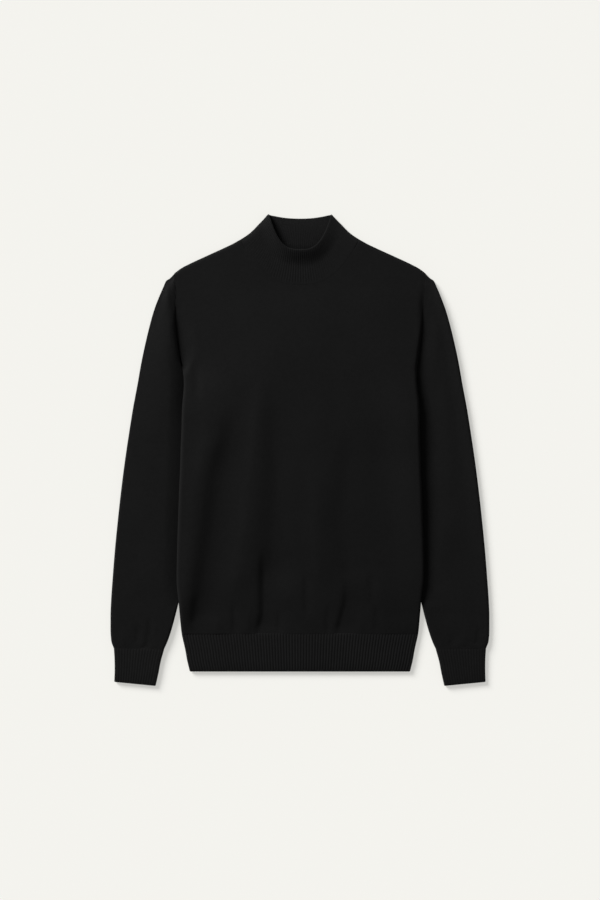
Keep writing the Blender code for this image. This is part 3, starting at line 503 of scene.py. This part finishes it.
def grid_normals(points, closed):
    """Normals of a grid of points, rows by columns."""
    if closed:
        along = np.roll(points, -1, 1) - np.roll(points, 1, 1)
    else:
        along = np.gradient(points, axis=1)
    return unit(np.cross(along, np.gradient(points, axis=0)))


def sheet_piece(name, outer, inner, material, flip):
    """A shell between two open grids, joined round its edges."""
    rows, columns = outer.shape[:2]
    n = rows * columns
    verts = np.concatenate([outer.reshape(-1, 3), inner.reshape(-1, 3)])
    place = outer[..., :2]
    top, row, column = quads(rows, columns, False, 0, flip)
    under, row_u, column_u = quads(rows, columns, False, n, not flip)
    edge = [(0, c) for c in range(columns)]
    edge += [(r, columns - 1) for r in range(1, rows)]
    edge += [(rows - 1, c) for c in range(columns - 2, -1, -1)]
    edge += [(r, 0) for r in range(rows - 2, 0, -1)]
    at = np.array(edge)
    number = at[:, 0] * columns + at[:, 1]
    after = np.roll(number, -1)
    rim = np.stack([number, number + n, after + n, after], 1)
    if flip:
        rim = rim[:, ::-1]
    flat_place = place.reshape(-1, 2)
    places = np.concatenate([place[row, column], place[row_u, column_u], flat_place[rim % n]])
    return make_piece(name, verts, np.concatenate([top, under, rim]), places, material)


def tube_piece(name, outer, inner, material, flip, ribs_round=None):
    """A shell round a tube, with its two open edges rounded over."""
    rows, columns = outer.shape[:2]
    grids = [outer, edge_rows(outer, inner, -1), inner[::-1], edge_rows(outer, inner, 0)[::-1]]
    loop = np.concatenate(grids)
    loop = np.concatenate([loop, loop[:1]])
    total = loop.shape[0]
    faces, row, column = quads(total, columns, True, 0, flip)
    faces = faces % ((total - 1) * columns)
    ring = np.concatenate([loop, loop[:, :1]], 1)
    lengths = np.linalg.norm(np.diff(loop, axis=0), axis=2).mean(1)
    along = np.concatenate([[0.0], np.cumsum(lengths)])
    if ribs_round is None:
        middle = ring[rows // 2]
        round_it = run_along(middle)
    else:
        round_it = np.linspace(0, ribs_round * 2 * WALE, columns + 1)
    places = np.stack([round_it[column], along[row]], 2)
    return make_piece(name, loop[:-1].reshape(-1, 3), faces, places, material)


def edge_rows(outer, inner, end):
    """Rows that round a wall over from its outer to its inner side at one open end."""
    before = outer[-2] if end else outer[1]
    out, into = outer[end], inner[end]
    middle, half = (out + into) / 2, (out - into) / 2
    forward = unit(out - before) * np.linalg.norm(half, axis=1, keepdims=True)
    turns = np.linspace(0, math.pi, RIM_STEPS + 1)[1:-1]
    return np.stack([middle + half * math.cos(a) + forward * math.sin(a) for a in turns])


# ---------------------------------------------------------------- body panels

def spread(count, fold_share):
    """Shares from 0 to 1, closer together in the folds at both ends."""
    fold = fold_share * (1 - np.sin(np.linspace(math.pi / 2, 0, FOLD_STEPS + 1)))
    middle = np.linspace(fold_share, 1 - fold_share, count)
    return np.concatenate([fold[:-1], middle, 1 - fold[:-1][::-1]])


def neckline_y(x, low_y, power):
    share = np.clip(np.abs(x) / NECK_POINT_X, 0.0, 1.0)
    return NECK_POINT_Y + (low_y - NECK_POINT_Y) * (1 - share ** power)


def panel_top_line(low_y, power, shares):
    """A panel's top edge at the given shares of its width, -X to +X."""
    neck_x = NECK_POINT_X * np.sin(np.linspace(0, math.pi / 2, NECK_LINE_POINTS))
    neck = np.stack([neck_x, neckline_y(neck_x, low_y, power)], 1)
    shoulder_x = np.linspace(NECK_POINT_X, SHOULDER["x"][0], SHOULDER_LINE_POINTS)[1:]
    shoulder = np.stack([shoulder_x, smooth_table(SHOULDER["x"], SHOULDER["y"], shoulder_x)], 1)
    line = np.concatenate([neck, shoulder])
    run = run_along(line)
    at = np.abs(2 * shares - 1) * run[-1]
    x = np.interp(at, run, line[:, 0]) * np.sign(shares - 0.5)
    return np.stack([x, np.interp(at, run, line[:, 1])], 1)


def panel_plan(columns, rows, low_y, power, reach=0.0):
    """Plan of a panel, rows by columns: its bottom, sides and top edge blended together.

    reach is how far it goes out past the armhole line.
    """
    u = spread(columns, SIDE_FOLD[1] / PANEL_WIDTH)
    v = spread(rows, SHOULDER_FOLD / PANEL_LENGTH)
    top = panel_top_line(low_y, power, u)
    bottom_y = HEM_SEAM_Y + SEAM_GAP
    plan = np.zeros((len(v), len(u), 2))
    for r, share in enumerate(v):
        y = bottom_y + share * (SHOULDER_END_Y - bottom_y)
        edge = side_x(y)
        level = edge * (2 * u - 1)
        ease = share ** TOP_EASE_POWER
        straight_top_x = top[:, 0] * edge / top[-1, 0]
        plan[r, :, 0] = level + (straight_top_x - level) * ease
        plan[r, :, 1] = y + (top[:, 1] - SHOULDER_END_Y) * ease
        plan[r, :, 0] *= 1 + reach * (1 - side_turn(y)) / edge
    return plan


def shoulder_turn(x):
    """1 where the front and back meet along the shoulder, 0 along the neckline."""
    return step(NECK_POINT_X + NECK_BLEND[0], NECK_POINT_X + NECK_BLEND[1], np.abs(x))


def edge_level(x, y):
    """Height at which the front ends: at the fold's middle, or in the armhole groove."""
    middle = (front_top(x, y) + back_under(x, y) + SEAM_GAP) / 2
    turn = side_turn(y)
    return middle * turn + sleeve_low(x, y) * (1 - turn)


def edge_distances(plan):
    """How far each point is from the side edge, the top edge and the bottom edge."""
    side = side_x(plan[..., 1]) - np.abs(plan[..., 0])
    top = np.linalg.norm(plan - plan[-1:], axis=2)
    return np.maximum(side, 0.0), top, plan[..., 1] - HEM_SEAM_Y


def level_edges(normals, plan, turned_side, turned_top, down):
    """Where a panel turns over at its edge its wall ends level; elsewhere it ends upright."""
    upright = np.array([0.0, 0.0, down])
    for column, sign in ((0, -1.0), (-1, 1.0)):
        turned = turned_side[:, None]
        normals[:, column] = unit(turned * np.array([sign, 0, 0]) + (1 - turned) * upright)
    tangent = np.gradient(plan[-1], axis=0)
    outward = unit(np.stack([-tangent[:, 1], tangent[:, 0], np.zeros(len(tangent))], 1))
    turned = turned_top[:, None]
    normals[-1] = unit(turned * outward + (1 - turned) * upright)
    normals[0, :, 1] = 0.0
    return unit(normals)


def front_edge_drop(x, y, away, turn):
    """How the front turns down at its side edge, away from it: 1 on the edge, 0 inside.

    It is a round fold along the side and at the +X armhole, and a long slope at the -X one.
    """
    fold = fold_drop(away, SIDE_FOLD[1] * turn + ARMHOLE_FOLD * (1 - turn))
    soft = 1 - step(0.0, GROOVE_SOFT_WIDTH, away)
    fold = fold + (soft - fold) * step(*GROOVE_EASE, y)
    low = smooth_table(LOW_EDGE["y"], LOW_EDGE["width"], y)
    high = low + smooth_table(LOW_EDGE["y"], LOW_EDGE["slope"], y)
    slope = 1 - step(low, high, away)
    return np.where(x > 0, fold, fold_drop(away, SIDE_FOLD[-1]) * turn + slope * (1 - turn))


def make_front(material):
    plan = panel_plan(*FRONT_GRID, FRONT_NECK_Y, FRONT_NECK_POWER)
    x, y = plan[..., 0], plan[..., 1]
    side, top_edge, seam = edge_distances(plan)
    turn = side_turn(y)
    top = front_top(x, y)
    middle = (top + back_under(x, y) + SEAM_GAP) / 2
    at_shoulder = shoulder_turn(x)
    side_drop = (top - edge_level(x, y)) * front_edge_drop(x, y, side, turn)
    top_drop = (top - middle) * at_shoulder * fold_drop(top_edge, SHOULDER_FOLD)
    seam_drop = SEAM_DROP * fold_drop(seam, SEAM_FOLD)
    z = top - np.maximum(np.maximum(side_drop, top_drop), seam_drop)
    outer = np.stack([x, y, z], 2)
    normals = grid_normals(outer, False)
    normals = level_edges(normals, plan, np.ones(len(plan)), at_shoulder[-1], 1.0)
    return sheet_piece("front", outer, outer - KNIT_WALL * normals, material, False)


def make_back(material):
    plan = panel_plan(*BACK_GRID, BACK_NECK_Y, BACK_NECK_POWER, BACK_REACH)
    x, y = plan[..., 0], plan[..., 1]
    side, top_edge, _ = edge_distances(plan)
    under = back_under(x, y)
    middle = (front_top(x, y) + under - SEAM_GAP) / 2
    turn = side_turn(y)
    level = edge_level(x, y) - SEAM_GAP - BACK_TUCK * (1 - turn)
    at_shoulder = shoulder_turn(x)
    side_rise = (level - under) * turn * fold_drop(side, SIDE_FOLD[1])
    top_rise = (middle - under) * at_shoulder * fold_drop(top_edge, SHOULDER_FOLD)
    outer = np.stack([x, y, under + np.maximum(side_rise, top_rise)], 2)
    normals = -grid_normals(outer, False)
    normals = level_edges(normals, plan, turn[:, 0], at_shoulder[-1], -1.0)
    return sheet_piece("back", outer, outer - KNIT_WALL * normals, material, True)


# ---------------------------------------------------------------- flat tubes

def flat_ring(width, top, top_share, under_share):
    """A flat tube's section: places across it and heights, with half-round side folds."""
    radius_a, radius_b = top[0] / 2, top[-1] / 2
    turns = np.linspace(0, math.pi / 2, FOLD_STEPS + 1)
    sin, cos = np.sin(turns), np.cos(turns)
    inside = width - radius_a - radius_b
    across = [radius_a * (1 - cos[:-1]), radius_a + inside * top_share,
              (width - radius_b * (1 - cos))[::-1][1:], (width - radius_b * (1 - cos))[1:-1],
              radius_a + inside * (1 - under_share), (radius_a * (1 - cos))[::-1][1:-1]]
    height = [radius_a * (1 + sin[:-1]), top,
              (radius_b * (1 + sin))[::-1][1:], (radius_b * (1 - sin))[1:-1],
              np.zeros(len(under_share)), (radius_a * (1 - sin))[::-1][1:-1]]
    return np.concatenate(across), np.concatenate(height)


def ring_inside(across, height, wall):
    """The same section moved in by the wall's thickness."""
    points = np.stack([across, height], 1)
    along = np.roll(points, -1, 0) - np.roll(points, 1, 0)
    inward = unit(np.stack([along[:, 1], -along[:, 0]], 1))
    return points + wall * inward


def sleeve_rings(place, side):
    """The outer and inner ring of a sleeve at a place in its table."""
    rows = np.arange(len(SLEEVE["outer_x"]))
    outer = np.array([smooth_table(rows, SLEEVE["outer_" + k], place) for k in "xy"])
    inner = np.array([smooth_table(rows, SLEEVE["inner_" + k], place) for k in "xy"])
    width = np.linalg.norm(inner - outer)
    armhole_share = max(0.0, 1 - place / ARMHOLE_ROWS)
    top_share = np.linspace(0, 1, SLEEVE_OVER_POINTS)

    def plan(across):
        share = (across / width)[:, None]
        line = outer + (inner - outer) * share
        chord = ARMHOLE_TOP + (ARMHOLE_FOOT - ARMHOLE_TOP) * share
        bend = side_x(chord[:, 1]) + ARMHOLE_GAP - chord[:, 0]
        line[:, 0] += bend * armhole_share
        return line

    full = np.full(len(top_share), SLEEVE_FIRST_TOP)
    for _ in range(SLEEVE_FIT_ROUNDS):
        radius_a, radius_b = full[0] / 2, full[-1] / 2
        from_fold = radius_a + (width - radius_a - radius_b) * top_share
        spot = plan(from_fold)
        full = sleeve_top(side * spot[:, 0], spot[:, 1], from_fold)
    under_share = np.linspace(0, 1, SLEEVE_UNDER_POINTS)
    across, height = flat_ring(width, full, top_share, under_share)
    inside = ring_inside(across, height, KNIT_WALL)
    rings = []
    for a, h in ((across, height), (inside[:, 0], inside[:, 1])):
        line = plan(a)
        rings.append(np.stack([side * line[:, 0], line[:, 1], h], 1))
    return rings


def make_sleeve(name, side, material):
    last = len(SLEEVE["outer_x"]) - 1
    rings = [sleeve_rings(p, side) for p in np.linspace(0, last, SLEEVE_ROWS)]
    outer = np.stack([r[0] for r in rings])
    inner = np.stack([r[1] for r in rings])
    return tube_piece(name, outer, inner, material, side > 0)


def rib_groove(count, depth):
    """Depth of the grooves between ribs at points spaced evenly round a ribbed band."""
    phase = np.arange(count) / POINTS_PER_RIB
    return depth * (1 - np.abs(np.cos(math.pi * phase)) ** RIB_ROUNDNESS)


def even_ring(points, count):
    """A closed ring resampled to points spaced evenly along it."""
    ring = np.concatenate([points, points[:1]])
    run = run_along(ring)
    at = np.linspace(0, run[-1], count + 1)[:-1]
    return np.stack([np.interp(at, run, ring[:, i]) for i in range(ring.shape[1])], 1)


def ribbed_rings(outer_end, inner_end, top, ribs, depth):
    """The outer and inner ring of a flat ribbed band between two ends of its plan line."""
    outer_end, inner_end = np.array(outer_end), np.array(inner_end)
    width = np.linalg.norm(inner_end - outer_end)
    way = (inner_end - outer_end) / width
    count = 2 * ribs * POINTS_PER_RIB
    share = np.linspace(0, 1, BAND_FLAT_POINTS)
    across, height = flat_ring(width, np.full(len(share), top), share, share)
    ring = even_ring(np.stack([across, height], 1), count)
    groove = rib_groove(count, depth)[:, None]
    along = np.roll(ring, -1, 0) - np.roll(ring, 1, 0)
    inward = unit(np.stack([along[:, 1], -along[:, 0]], 1))
    rings = []
    for flat in (ring + groove * inward, ring + (RIB_WALL + depth / 2) * inward):
        plan = outer_end + way * flat[:, :1]
        rings.append(np.column_stack([plan, flat[:, 1]]))
    return rings


def make_band(name, ends, tops, ribs, depth, material, flip):
    rings = [ribbed_rings(a, b, top, ribs, depth) for (a, b), top in zip(ends, tops)]
    outer = np.stack([r[0] for r in rings])
    inner = np.stack([r[1] for r in rings])
    return tube_piece(name, outer, inner, material, flip, ribs_round=2 * ribs)


def band_tops(top, ends, share):
    """A band's height at shares of the way from its seam to its open edge."""
    at_seam = ends["seam"] * np.exp(-share * ends["rate"])
    return top + at_seam - ends["edge"] * share ** BAND_EDGE_POWER


def make_hem(material):
    ys = HEM_SEAM_Y - SEAM_GAP + (HEM_BOTTOM_Y - HEM_SEAM_Y) * HEM_ROW_SHARES
    ends = [((-side_x(y), y), (side_x(y), y)) for y in ys]
    tops = band_tops(HEM_TOP, HEM_ENDS, HEM_ROW_SHARES)
    return make_band("hem_rib", ends, tops, HEM_RIBS, HEM_RIB_DEPTH, material, True)


def make_cuff(name, side, material):
    table_rows = np.arange(len(CUFF["outer_x"]))
    places = np.linspace(0, table_rows[-1], CUFF_ROWS)
    line = {k: smooth_table(table_rows, CUFF[k], places) for k in CUFF}
    ends = []
    for i in range(CUFF_ROWS):
        ends.append(((side * line["outer_x"][i], line["outer_y"][i]),
                     (side * line["inner_x"][i], line["inner_y"][i])))
    tops = band_tops(CUFF_TOP, CUFF_ENDS, np.linspace(0, 1, CUFF_ROWS))
    return make_band(name, ends, tops, CUFF_RIBS, CUFF_RIB_DEPTH, material, side < 0)


# ---------------------------------------------------------------- collar

def collar_row(climb):
    """Sizes of the collar's section at a share of the way up it, from seam to rim."""
    places = np.arange(len(COLLAR_SIDE["x"]))
    at = climb * places[-1]
    side = smooth_table(places, COLLAR_SIDE["x"], at)
    side_y = smooth_table(places, COLLAR_SIDE["y"], at)
    spread_out = climb + COLLAR_FRONT_EASE * math.sin(math.pi * climb)
    front_y = FRONT_NECK_Y + (COLLAR_RIM_FRONT_Y - FRONT_NECK_Y) * spread_out
    back_y = BACK_NECK_Y + (COLLAR_RIM_BACK_Y - BACK_NECK_Y) * climb
    return side, side_y, front_y, back_y


def collar_ring(climb):
    """Points of one section: over the front from -X to +X, then back under."""
    side, side_y, front_y, back_y = collar_row(climb)
    lift = step(*COLLAR_LIFT_SHARES, climb)
    side_lift = step(*COLLAR_SIDE_LIFT_SHARES, climb) / step(*COLLAR_SIDE_LIFT_SHARES, 1.0)
    power = FRONT_NECK_POWER + (COLLAR_RIM_POWER - FRONT_NECK_POWER) * climb
    middle = COLLAR_BASE_TOP + (COLLAR_RIM_FRONT_TOP - COLLAR_BASE_TOP) * lift
    above = max(0.0, (climb - COLLAR_ARCH_SHARE) / (1 - COLLAR_ARCH_SHARE))
    arch = COLLAR_BACK_ARCH * step(0.0, COLLAR_ARCH_SHARE, climb) * (1 - above ** 3)
    over, under = {}, {}
    for sign in (-1, 1):
        thick = COLLAR_BASE_TOP + COLLAR_SIDE_LIFT[sign] * side_lift
        radius = thick / 2
        share = np.sin(np.linspace(0, math.pi / 2, COLLAR_LINE_POINTS))
        turn = np.linspace(0, math.pi / 2, COLLAR_TURN_POINTS)[1:]
        x = np.concatenate([share * (side - radius), side - radius + radius * np.sin(turn)])
        top = thick + (middle - thick) * (1 - share ** 2) ** COLLAR_TOP_POWER
        top = np.concatenate([top, radius * (1 + np.cos(turn))])
        bottom = np.concatenate([arch * (1 - share ** 2), radius * (1 - np.cos(turn))])
        front_line = side_y + (front_y - side_y) * (1 - (x / side) ** power)
        back_line = side_y + (back_y - side_y) * (1 - (x / side) ** BACK_NECK_POWER)
        over[sign] = np.stack([sign * x, front_line, top], 1)
        under[sign] = np.stack([sign * x, back_line, bottom], 1)
    front = np.concatenate([over[-1][::-1], over[1][1:]])
    back = np.concatenate([under[1][::-1], under[-1][1:]])
    parts = []
    for line, ribs in ((front, COLLAR_FRONT_RIBS), (back, COLLAR_BACK_RIBS)):
        run = run_along(line)
        at = np.linspace(0, run[-1], ribs * POINTS_PER_RIB + 1)[:-1]
        parts.append(np.stack([np.interp(at, run, line[:, i]) for i in range(3)], 1))
    return np.concatenate(parts)


def make_collar(material):
    climbs = np.linspace(0, 1, COLLAR_ROWS)
    middle = np.stack([collar_ring(c) for c in climbs])
    normals = grid_normals(middle, True)
    groove = rib_groove(middle.shape[1], COLLAR_RIB_DEPTH)
    plain = step(*COLLAR_RIBS_FROM, climbs)
    pulled = np.exp(-(middle[..., 0] / COLLAR_RIBS_CLEAR) ** 2)
    pulled = COLLAR_RIBS_LEFT + (1 - COLLAR_RIBS_LEFT) * pulled
    sunk = (plain[:, None] * groove[None, :] * pulled)[:, :, None]
    outer = middle - sunk * normals
    inner = middle - (COLLAR_WALL - COLLAR_INNER_RIBS * sunk) * normals
    return tube_piece("collar", outer, inner, material, True,
                      ribs_round=COLLAR_FRONT_RIBS + COLLAR_BACK_RIBS)


# ---------------------------------------------------------------- materials

def knit_material(name, grey, bump_mm, across, along):
    """Near-black knit: V-shaped stitches with painted shade in their hollows, a little fuzz,
    sheen, dye that is uneven at random, and a painted light falloff.

    across and along say how its shade changes per metre towards +X and +Y: a painted light
    falloff, lighter towards the main light at the upper left.
    """
    material = bpy.data.materials.new(name)
    material.use_nodes = True
    tree = material.node_tree
    nodes, links = tree.nodes, tree.links
    shader = nodes["Principled BSDF"]

    def value(socket, source):
        if isinstance(source, (int, float)):
            socket.default_value = source
        else:
            links.new(source, socket)

    def maths(operation, a, b=None):
        node = nodes.new("ShaderNodeMath")
        node.operation = operation
        value(node.inputs[0], a)
        if b is not None:
            value(node.inputs[1], b)
        return node.outputs[0]

    place = nodes.new("ShaderNodeUVMap")
    place.uv_map = "knit"
    apart = nodes.new("ShaderNodeSeparateXYZ")
    links.new(place.outputs["UV"], apart.inputs[0])
    wales = maths("DIVIDE", apart.outputs["X"], WALE)
    courses = maths("DIVIDE", apart.outputs["Y"], COURSE)
    leg = maths("MULTIPLY", maths("ABSOLUTE", maths("SUBTRACT", maths("FRACT", wales), 0.5)), 2.0)
    slant = maths("FRACT", maths("ADD", courses, maths("MULTIPLY", leg, 0.55)))
    loops = maths("SINE", maths("MULTIPLY", slant, math.pi))
    column = maths("SINE", maths("MULTIPLY", leg, math.pi))
    crown = maths("ADD", maths("MULTIPLY", loops, 0.6), 0.4)
    stitch = maths("MULTIPLY", crown, maths("POWER", column, 0.7))

    spot = nodes.new("ShaderNodeTexCoord")

    def noise(scale, detail, roughness=0.55):
        node = nodes.new("ShaderNodeTexNoise")
        node.inputs["Scale"].default_value = scale
        node.inputs["Detail"].default_value = detail
        node.inputs["Roughness"].default_value = roughness
        links.new(spot.outputs["Object"], node.inputs["Vector"])
        return node.outputs["Fac"]

    fuzz = noise(900.0, 4.0, 0.7)
    mottle = noise(190.0, 4.0, 0.65)
    patches = noise(16.0, 3.0)
    height = maths("ADD", stitch, maths("MULTIPLY", fuzz, 0.7))
    bump = nodes.new("ShaderNodeBump")
    bump.inputs["Strength"].default_value = 1.0
    bump.inputs["Distance"].default_value = bump_mm * MM
    links.new(height, bump.inputs["Height"])
    links.new(bump.outputs["Normal"], shader.inputs["Normal"])

    shade = maths("ADD", maths("MULTIPLY", mottle, 0.55), maths("MULTIPLY", patches, 0.30))
    shade = maths("ADD", shade, 0.60)
    # Painted shade: the hollows between the stitches are painted darker than their crowns.
    shade = maths("MULTIPLY", shade, maths("ADD", maths("MULTIPLY", stitch, 0.30), 0.80))
    where = nodes.new("ShaderNodeSeparateXYZ")
    links.new(spot.outputs["Object"], where.inputs[0])
    # Painted light falloff: the colour is painted lighter towards the main light at the upper
    # left (towards -X and +Y).
    painted_falloff_x = maths("MULTIPLY", where.outputs["X"], across)
    painted_falloff_y = maths("MULTIPLY", where.outputs["Y"], along)
    fade = maths("ADD", painted_falloff_x, painted_falloff_y)
    shade = maths("MULTIPLY", shade, maths("ADD", fade, 1.0))
    mix = nodes.new("ShaderNodeMix")
    mix.data_type = "RGBA"
    mix.blend_type = "MULTIPLY"
    mix.inputs["Factor"].default_value = 1.0
    mix.inputs["A"].default_value = (grey, grey, grey, 1.0)
    tint = nodes.new("ShaderNodeCombineColor")
    for k in ("Red", "Green", "Blue"):
        links.new(shade, tint.inputs[k])
    links.new(tint.outputs[0], mix.inputs["B"])
    links.new(mix.outputs["Result"], shader.inputs["Base Color"])
    shader.inputs["Roughness"].default_value = 0.92
    shader.inputs["Specular IOR Level"].default_value = 0.08
    shader.inputs["Sheen Weight"].default_value = 0.022
    shader.inputs["Sheen Roughness"].default_value = 0.45
    shader.inputs["Sheen Tint"].default_value = (1.0, 1.0, 1.0, 1.0)
    return material


# ---------------------------------------------------------------- floor, light and camera

def make_floor():
    mesh = bpy.data.meshes.new("floor")
    r = FLOOR_REACH
    mesh.from_pydata([(-r, -r, 0), (r, -r, 0), (r, r, 0), (-r, r, 0)], [], [(0, 1, 2, 3)])
    material = bpy.data.materials.new("floor_paper")
    material.use_nodes = True
    shader = material.node_tree.nodes["Principled BSDF"]
    shader.inputs["Base Color"].default_value = FLOOR_COLOUR
    shader.inputs["Roughness"].default_value = 1.0
    shader.inputs["Specular IOR Level"].default_value = 0.0
    shader.inputs["Emission Color"].default_value = FLOOR_GLOW
    shader.inputs["Emission Strength"].default_value = 1.0
    mesh.materials.append(material)
    floor = bpy.data.objects.new("floor", mesh)
    floor.location.z = -FLOOR_DROP
    bpy.context.collection.objects.link(floor)


def make_lights():
    world = bpy.data.worlds.new("studio")
    world.use_nodes = True
    background = world.node_tree.nodes["Background"]
    background.inputs["Color"].default_value = (1.0, 1.0, 1.0, 1.0)
    background.inputs["Strength"].default_value = SKY_STRENGTH
    bpy.context.scene.world = world
    light = bpy.data.lights.new("key", "SUN")
    light.energy = KEY_STRENGTH * math.pi / math.sin(KEY_ELEVATION)
    light.angle = KEY_SPREAD
    key = bpy.data.objects.new("key", light)
    way = Vector((1.0, -1.0, -math.tan(KEY_ELEVATION) * math.sqrt(2.0)))
    key.rotation_euler = way.to_track_quat("-Z", "Y").to_euler()
    bpy.context.collection.objects.link(key)


def make_camera():
    camera = bpy.data.cameras.new("camera")
    camera.lens = LENS
    camera.sensor_width = SENSOR
    height = VIEW_LENGTH / SENSOR * LENS
    camera.clip_end = 100.0
    thing = bpy.data.objects.new("camera", camera)
    thing.location = (*CAMERA_PLACE, height + LOOKED_AT_HEIGHT)
    bpy.context.collection.objects.link(thing)
    bpy.context.scene.camera = thing


def main():
    bpy.context.scene.view_settings.view_transform = "Standard"
    bpy.context.scene.view_settings.look = "None"
    yarn = {name: knit_material(name, *looks) for name, looks in YARNS.items()}
    ({
        "front": make_front(yarn["body_knit"]),
        "back": make_back(yarn["body_knit"]),
        "sleeve_left": make_sleeve("sleeve_left", 1, yarn["sleeve_knit"]),
        "sleeve_right": make_sleeve("sleeve_right", -1, yarn["sleeve_knit"]),
        "hem_rib": make_hem(yarn["rib"]),
        "cuff_left": make_cuff("cuff_left", 1, yarn["rib"]),
        "cuff_right": make_cuff("cuff_right", -1, yarn["rib"]),
        "collar": make_collar(yarn["collar_rib"]),
    })
    make_floor()
    make_lights()
    make_camera()


main()
